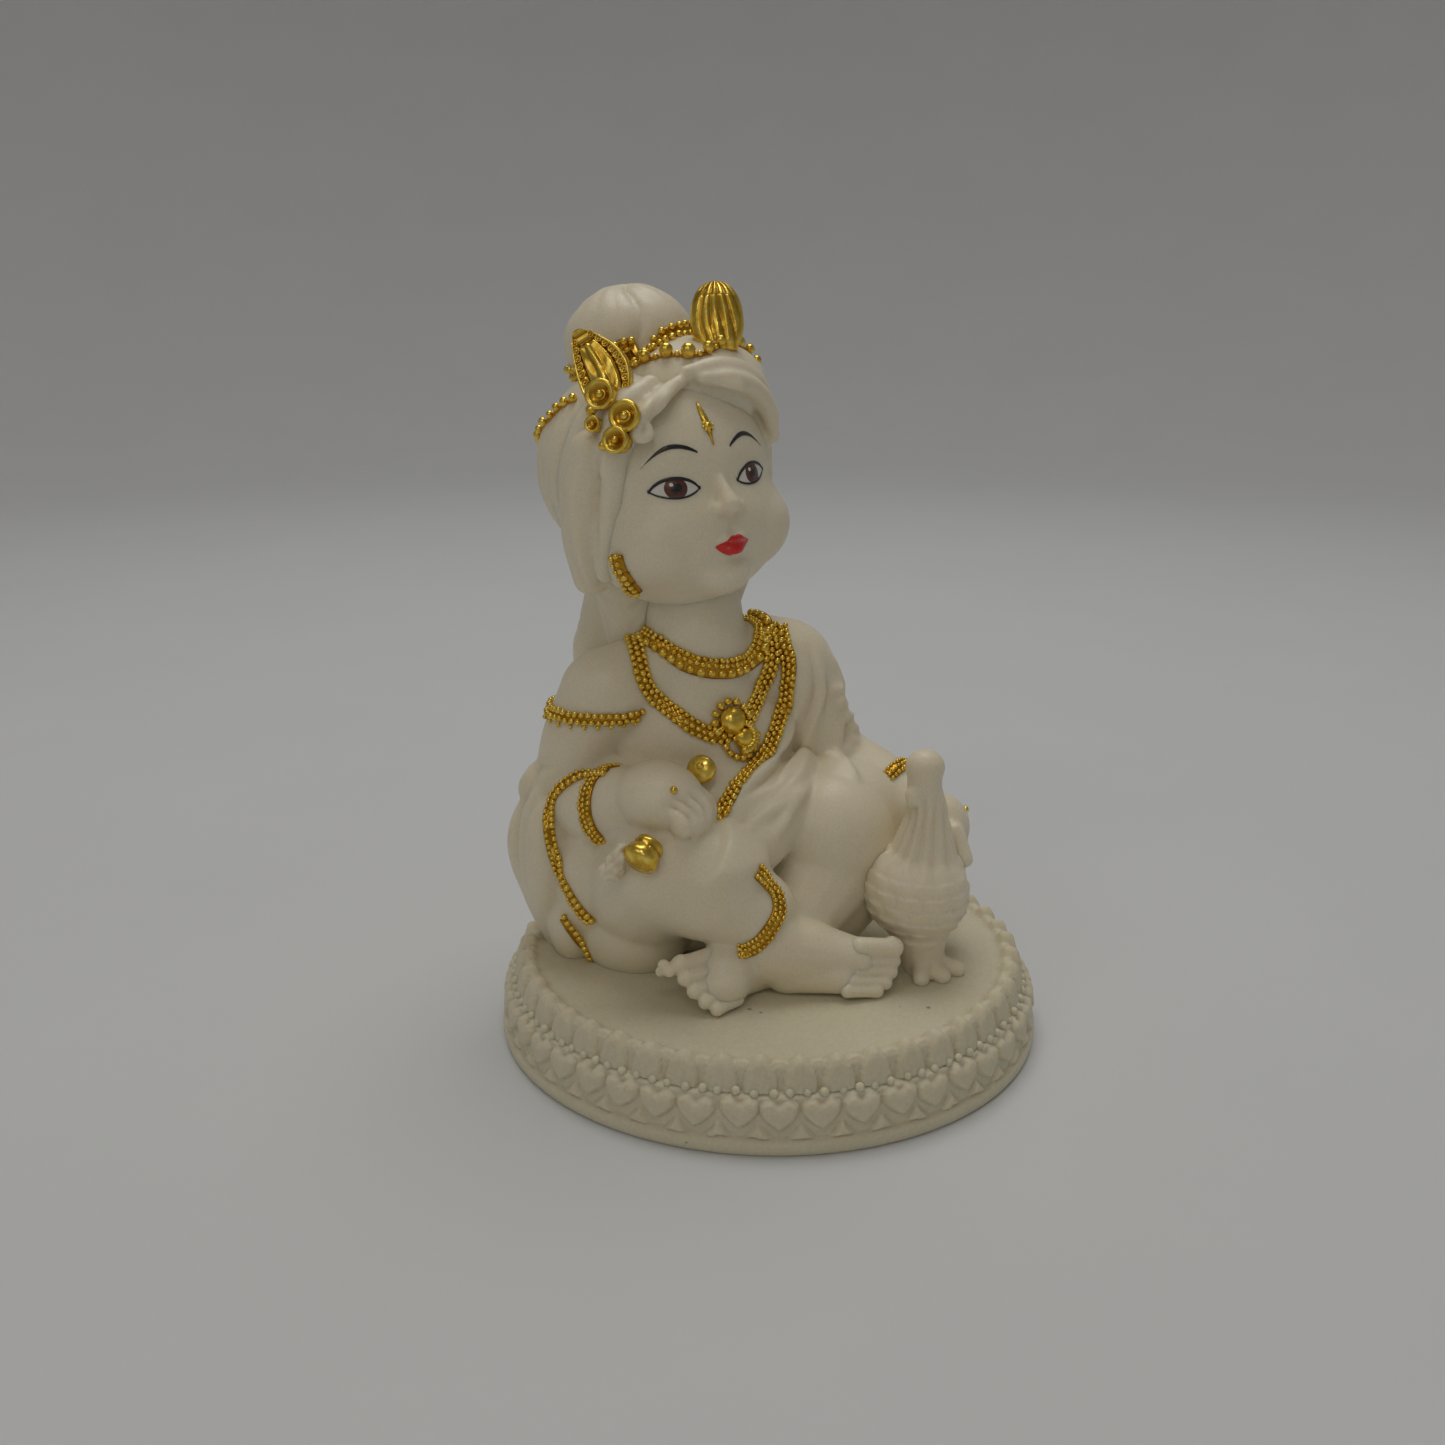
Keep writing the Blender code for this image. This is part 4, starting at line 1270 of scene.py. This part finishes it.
def forehead_mark(ground):
    line = [HEAD @ Vector(at) for at in ((0, -15, 13.4), (0, -15.6, 9.4), (0, -15.6, 5.4))]
    places, outward, across = ground.route(line, 0.25)
    rings = []
    for u, place, out, side in zip(np.linspace(0, 1, len(places)), places, outward, across):
        half = 0.08 + 0.5 * sin(pi * u ** 0.8) ** 1.1
        edge = side * half
        rings.append((place - edge, place + out * 0.28, place + edge, place - out * 0.3))
    dot, half_way = int(len(places) * 0.56), len(places) // 2
    parts = [tube(np.array(rings)), placed(DOME, places[dot], outward[dot], 0.62)]
    side, up = across[half_way], np.cross(outward[half_way], across[half_way])
    for turn in 2 * pi * np.arange(8) / 8:
        spot = places[dot] + (side * cos(turn) + up * sin(turn)) * 0.72 + outward[dot] * 0.12
        parts.append(bead(spot, 0.2))
    publish_gold("forehead_mark", parts)


FLUTE_NEAR = Vector((-25.4, -9.4, 21.6))
FLUTE_FAR = Vector((-12.3, -2.4, 30.3))

FLUTE_KNOB = turned(
    ((0, -1.9), (1.5, -1.9), (1.95, -1.6), (2.1, -0.9), (1.9, -0.5), (2.35, 0.1), (2.55, 1.0),
      (2.4, 1.7),
     (1.7, 2.1), (0, 2.2)), 32,
)

FLUTE_END = turned(
    ((0, -1.6), (1.6, -1.6), (1.8, -1.1), (1.65, -0.7), (2.0, -0.1), (2.0, 0.8), (1.6, 1.2),
      (0, 1.35)), 32,
)


def flute():
    """The flute's gold ends, the tube that shows between the fingers and the broken stub."""
    along = (FLUTE_FAR - FLUTE_NEAR).normalized()
    face = Vector((-0.62, -0.7, 0.35)).normalized()
    parts = [
        placed(FLUTE_KNOB, FLUTE_NEAR + along * 1.4, -along),
        placed(FLUTE_END, FLUTE_FAR, face),
        bead(FLUTE_FAR + face * 1.3 + Vector((0, 0, 0.5)), 0.55),
        bead(FLUTE_NEAR + along * 0.4 + Vector((0.8, -1.2, 1.6)), 0.5),
    ]
    publish_gold("flute_knobs", parts)
    shapes = limb([FLUTE_NEAR + along * 8.5, FLUTE_FAR - along * 4.5], [1.3, 1.3])
    publish_stone(fused("flute_tube", shapes, 0.3, 2))
    stub = balls(
        ((-27.2, -7.4, 22.2), (1.0, 1.0, 1.7), (10, -20, 20)),
        ((-27.8, -6.6, 20.6), (1.2, 1.3, 1.3), (25, 10, 0)),
        ((-28.6, -5.6, 19.2), (1.0, 1.2, 1.3), (-15, 30, 0)),
        ((-27.3, -5.9, 18.8), (1.1, 1.1, 0.9), (30, 0, 25)),
    )
    broken = fused("flute_broken_stub", stub, 0.25, 1)
    points = skin_of(broken)[0]
    chips = np.sin(points @ np.array((3.1, 1.7, 2.3))) + np.sin(points @ np.array((-1.9, 3.3, 4.1)))
    raise_skin(broken, 0.16 * chips)
    publish_stone(broken)


def bare_arm(forms):
    """An arm without cloth, for what is tied round it."""
    made = fused("arm", forms, 0.4, 8)
    ground = Ground(made)
    bpy.data.objects.remove(made)
    return ground


def hand_dots(ground):
    spots = (ground.rest(at) for at in ((-19.4, -7.9, 30.1), (26.0, -12.2, 20.6)))
    publish_gold("hand_dots", [placed(DOME, at, out, 0.55) for at, out in spots])


def jewellery(body, head, hair):
    ground, right, left = Ground(body), bare_arm(right_arm()), bare_arm(left_arm())
    scalp = Ground(hair)
    beaded("collar_necklace", ground, NECKLACE, COLLAR_ROWS, 2.9, True, 0.4)
    beaded("long_necklace", ground, LONG_NECKLACE, THREE_ROWS, 2.2, height=0.14)
    beaded("shawl_border", ground, SHAWL_BORDER, THREE_ROWS, 2.3, height=0.14)
    beaded("armlet", right, around(right, *ARMLET), ARMLET_ROWS, 1.5, True, lift=0.3)
    beaded("bracelet", right, around(right, *BRACELET), FINE_ROWS, 2.3, True, 0.42, 0.4)
    beaded("anklet", ground, ANKLET, FINE_ROWS, 2.3, False, 0.4, 0.38)
    beaded("bangle", left, around(left, *BANGLE), FINE_ROWS, 2.2, True, 0.42, 0.38)
    beaded("cloth_trim", ground, CLOTH_EDGE, EDGE_ROWS, 1.7)
    beaded("low_cloth_trim", ground, LOW_CLOTH_EDGE, EDGE_ROWS[:1], 1.3)
    pendant(ground)
    head_beads(scalp)
    right_leaf()
    left_leaf()
    crown_bosses()
    ear_rings(Ground(head, hair))
    forehead_mark(Ground(head))
    flute()
    hand_dots(ground)


# Paint on the face

class Face:
    """Lays painted shapes on the front of the head, in the head's own directions."""

    def __init__(self, head):
        points = seen_from(skin_of(head)[0], HEAD)
        faces = [tuple(face.vertices) for face in head.data.polygons]
        self.tree = BVHTree.FromPolygons(points.tolist(), faces)

    def on_skin(self, x, z, rise):
        place, out = self.tree.ray_cast(Vector((x, -40, z)), Vector((0, 1, 0)))[:2]
        return HEAD @ (place + out * rise)

    def between(self, heights, xs, rise, across=7):
        """A thin closed layer of paint between two curves, whose heights are a function of x."""
        spots = []
        for x in xs:
            low, high = heights(x)
            high = max(high, low + 0.02)
            spots += [(x, low + (high - low) * j / (across - 1)) for j in range(across)]
        front, back = ([self.on_skin(x, z, away) for x, z in spots] for away in (rise, -0.15))
        return slab(front, back, across)


EYE_AT = (6.2, 0.2)
EYE_HALF = 3.0
IRIS_RADIUS = 1.42
BROW_START = 2.6
BROW_LENGTH = 7.2
LIP_HALF = 2.7


def eye_lids(x, side):
    """The heights of the lower and upper lid."""
    t = max(-1.0, min(1.0, side * (x - side * EYE_AT[0]) / EYE_HALF))
    bow = 1 - t * t
    middle = EYE_AT[1] + 0.25 * t
    return middle - 1.05 * bow**0.8, middle + 1.5 * bow**0.7


def brow(x):
    """The heights of an eyebrow's lower and upper edge."""
    t = (abs(x) - BROW_START) / BROW_LENGTH
    rise = 4.3 + 1.9 * sin(pi * min(1, t * 0.95 + 0.05)) ** 0.9 - 0.7 * t
    half = 0.32 * sin(pi * min(1, t + 0.06) ** 0.8) ** 0.8
    return rise - half, rise + half


def painted_eyes(face):
    whites_and_highlights, irises, blacks = [], [], []
    for side in (-1, 1):
        middle = side * EYE_AT[0]

        def lids(x):
            return eye_lids(x, side)

        def disc(radius, centre_x, centre_z, rise):
            """A round dot cut off by the lids."""
            def heights(x):
                half = sqrt(max(0.0, radius**2 - (x - centre_x) ** 2))
                low, high = lids(x)
                return max(low, centre_z - half), min(high, centre_z + half)

            return face.between(heights, centre_x + radius * np.cos(np.linspace(pi, 0, 25)), rise)

        def lid_line(which, below, above):
            xs = middle + (EYE_HALF + 0.25) * np.linspace(-1, 1, 41)
            return face.between(
                lambda x: (lids(x)[which] - below, lids(x)[which] + above), xs, 0.09, 4
            )

        whites_and_highlights.append(face.between(lids, middle + EYE_HALF * np.linspace(-1, 1, 33), 0.04))
        # A small white dot on each iris: a painted highlight.
        whites_and_highlights.append(disc(0.24, middle - 0.5, EYE_AT[1] + 0.8, 0.1))
        irises.append(disc(IRIS_RADIUS, middle, EYE_AT[1] + 0.25, 0.06))
        blacks.append(disc(0.72, middle, EYE_AT[1] + 0.3, 0.08))
        blacks += [lid_line(1, 0.16, 0.3), lid_line(0, 0.16, 0.1)]
        brow_xs = side * np.linspace(BROW_START, BROW_START + BROW_LENGTH, 33)
        blacks.append(face.between(brow, brow_xs, 0.06, 4))
    # The eye whites together with the painted highlights.
    publish(together("eye_whites_and_highlights", whites_and_highlights), WHITE)
    publish(together("irises", irises), BROWN)
    publish(together("eye_lines", blacks), BLACK)


def lip_edges(x):
    """The heights of the lower lip's foot and the upper lip's bow."""
    t = min(1.0, abs(x) / LIP_HALF)
    bow = 0.25 * sin(pi * min(1, t * 2)) * (t < 0.5)
    return -8.1 - 1.6 * (1 - t * t) ** 0.9, -8.05 + 1.05 * (1 - t) ** 0.75 + bow


def painted_lips(face):
    lips = face.between(lip_edges, LIP_HALF * np.linspace(-1, 1, 41), 0.05, 12)
    publish(together("lips", [lips]), RED)


# Lotus base, with heights from its underside

PETALS = 46
COLUMNS_PER_PETAL = 20
PITCH = 5.05
UPPER_FOOT = 7.95
UPPER_RISE = 4.25
FOOT_BAND = ((39.2, 0.0), (39.85, 0.12), (40.1, 0.45), (40.15, 1.1), (40.1, 1.75), (39.9, 2.1),
    (39.5, 2.3))
RIM_ROUND = ((0.4, 1.04), (0.85, 0.98), (1.2, 0.7), (1.4, 0.25))
BEADS_PER_PETAL = 2.3
BEAD_RING_RADIUS = 38.1
BEAD_RING_HEIGHT = 8.0


def arch(x, half):
    """A rounded ridge profile, 1 in the middle and 0 at half and beyond."""
    return np.sqrt(np.clip(1 - (x / np.maximum(half, 1e-6)) ** 2, 0, 1))


def petal_tops(x, gap, lift):
    """How high the rim stands over each column: a tall arch at a petal, a low one between two."""
    rise = np.clip(1 - (np.abs(x) / 2.15) ** 1.75, 0, 1) ** 0.42
    front = UPPER_FOOT + (UPPER_RISE + lift) * rise
    behind = BASE_TOP + 0.1 + 0.55 * arch(gap, 1.2)
    return np.maximum(front, behind)


def upper_petals(x, z, lift):
    """How far an upper petal stands out at this distance across it and this height."""
    rise = np.clip((z - UPPER_FOOT) / (UPPER_RISE + lift), 0, 1)
    half = 2.15 * (1 - rise**2.4) ** 0.57
    inside = np.abs(x) < half
    across = arch(x, half)
    return np.where(inside, 0.85 * across**0.65 + 0.05 * np.cos(7 * x) * across, 0.0)


def heart_petals(gap, x, z):
    """How far the lower row's hanging petals and the small mounds between them stand out."""
    fall = z - 3.75
    half = 2.5 * np.sin(pi / 2 * np.clip((fall + 0.12) / 2.7, 0, 1)) ** 0.85
    top = 3.95 - 0.75 * np.exp(-((gap / 0.62) ** 2)) - 0.9 * (np.abs(gap) / 2.5) ** 4
    edge = np.minimum(half - np.abs(gap), top - fall)
    heart = 0.75 * soft_step(edge, 0.0, 0.5) + 0.2 * soft_step(edge, 0.3, 1.3)
    heart = np.where(fall > -0.12, heart, 0)
    mound_edge = np.minimum(1.75 - np.abs(x) - 0.85 * np.maximum(z - 2.4, 0), z - 2.2)
    return np.maximum(heart, 0.68 * soft_step(mound_edge, 0.0, 0.6))


def lotus_base():
    columns = PETALS * COLUMNS_PER_PETAL
    turns = 2 * pi * np.arange(columns) / columns
    share = np.arange(columns) / COLUMNS_PER_PETAL
    petal = share.astype(int) % PETALS
    wobble = rng.normal(0, 0.12, PETALS)
    lift = wobble[petal]
    x = (share % 1 - 0.5) * PITCH + np.roll(wobble, 3)[petal] * 0.6
    gap = ((share + 0.5) % 1 - 0.5) * PITCH
    heart_wobble = rng.normal(0, 0.1, PETALS)[(share + 0.5).astype(int) % PETALS]
    rows = list(FOOT_BAND)
    for z in np.linspace(2.45, 7.6, 30):
        ground = 39.35 - 0.75 * (z - 2.45) / 5.15
        rows.append((ground + heart_petals(gap + heart_wobble, x, z + heart_wobble), z))
    rows += [(38.35, 7.72), (37.7, 7.85)]
    top = petal_tops(x, gap, lift)
    for t in np.linspace(0.01, 1, 24):
        z = UPPER_FOOT + (top - UPPER_FOOT) * t
        ground = 37.45 - 1.05 * (z - UPPER_FOOT) / UPPER_RISE
        rows.append((ground + upper_petals(x, z, lift) - 0.3 * soft_step(t, 0.8, 1.0), z))
    rim = rows[-1][0]
    uneven = slice(len(FOOT_BAND), len(rows) - 1)
    rows += [(rim - inwards, BASE_TOP + (top - BASE_TOP) * part) for inwards, part in RIM_ROUND]
    rows.append((34.2, BASE_TOP + 0.02))
    rows += [(radius, BASE_TOP) for radius in (33.5, 28, 22, 15, 8, 2)]
    radii, heights = (np.stack([np.broadcast_to(row[i], columns) for row in rows]) for i in (0, 1))
    rings = np.stack([radii * np.cos(turns), radii * np.sin(turns), heights], axis=2)
    rings[uneven] += rng.normal(0, 0.018, rings[uneven].shape)
    points = rings.reshape(-1, 3)
    faces = tube_faces(len(rows), columns)
    middle, under = len(points), len(points) + 1
    for i in range(columns):
        j = (i + 1) % columns
        faces.append((middle - columns + i, middle - columns + j, middle))
        faces.append((j, i, under))
    points = np.vstack([points, (0, 0, BASE_TOP), (0, 0, 0)]) - (0, 0, BASE_TOP)
    publish(mesh_object("lotus_base", points, faces), BASE_STONE)


def base_beads():
    beads = []
    count = round(PETALS * BEADS_PER_PETAL)
    for i in range(count):
        turn = 2 * pi * (i + rng.uniform(-0.1, 0.1)) / count
        height = BEAD_RING_HEIGHT + rng.normal(0, 0.1) - BASE_TOP
        at = (BEAD_RING_RADIUS * cos(turn), BEAD_RING_RADIUS * sin(turn), height)
        beads.append(bead(at, 0.64 * rng.uniform(0.85, 1.1)))
    publish(together("base_bead_row", beads), BASE_STONE)


# Stage

def stage():
    """A pale round sweep that curves up into a wall."""
    flat, bend, top, sides = 700, 500, 1500, 96
    profile = [(flat * t, 0) for t in np.linspace(0.1, 1, 10)]
    profile += [(flat + bend * sin(t), bend * (1 - cos(t))) for t in np.linspace(0.1, pi / 2, 14)]
    profile += [(flat + bend, bend + (top - bend) * t) for t in (0.5, 1)]
    faces = [(0, 1 + i, 1 + (i + 1) % sides) for i in range(sides)]
    faces += [[1 + corner for corner in reversed(face)] for face in tube_faces(len(profile), sides)]
    floor = mesh_object("floor", [(0, 0, 0), *ring_points(profile, sides)], faces)
    floor.data.shade_smooth()
    shader = Shader("backdrop_paper")
    tints = (0.3, colour(0.70, 0.718, 0.735)), (0.7, colour(0.715, 0.733, 0.75))
    shader.feed(Base_Color=shader.ramp(shader.noise(60, 3), *tints))
    shader.set(Roughness=0.9)
    floor.data.materials.append(shader.material)


def light(name, at, size, power, tint):
    lamp = bpy.data.lights.new(name, "AREA")
    lamp.shape = "DISK"
    lamp.size = size
    lamp.energy = power
    lamp.color = tint
    holder = add_object(name, lamp)
    holder.location = at
    aim = Vector((0, 0, 0.05)) - Vector(at)
    holder.rotation_euler = aim.to_track_quat("-Z", "Y").to_euler()


def lights():
    """Soft light from above and from the front right."""
    light("overhead", (0.12, 0.2, 0.84), 0.6, 2.2, (1.0, 0.995, 0.98))
    light("side", (-0.75, -0.35, 0.7), 0.5, 0.5, (1.0, 0.95, 0.88))
    light("front", (-0.5, -0.9, 0.6), 0.4, 0.28, (1.0, 0.82, 0.62))
    light("glint", (-0.3, -0.5, 0.75), 0.1, 0.36, (1.0, 0.97, 0.92))
    world = bpy.data.worlds.new("studio")
    bpy.context.scene.world = world
    world.use_nodes = True
    sky = world.node_tree.nodes["Background"]
    sky.inputs["Color"].default_value = (1.0, 0.9, 0.78, 1)
    sky.inputs["Strength"].default_value = 0.19
    bpy.context.scene.view_settings.view_transform = "Standard"


# Whole

stage()
lights()
lotus_base()
base_beads()
body = carved_body()
head = carved_head()
hair = carved_hair()
jewellery(body, head, hair)
face = Face(head)
painted_eyes(face)
painted_lips(face)
publish_stone(carved_bird())
publish_stone(carved_toes())
for carving in (body, head, hair):
    publish_stone(carving)
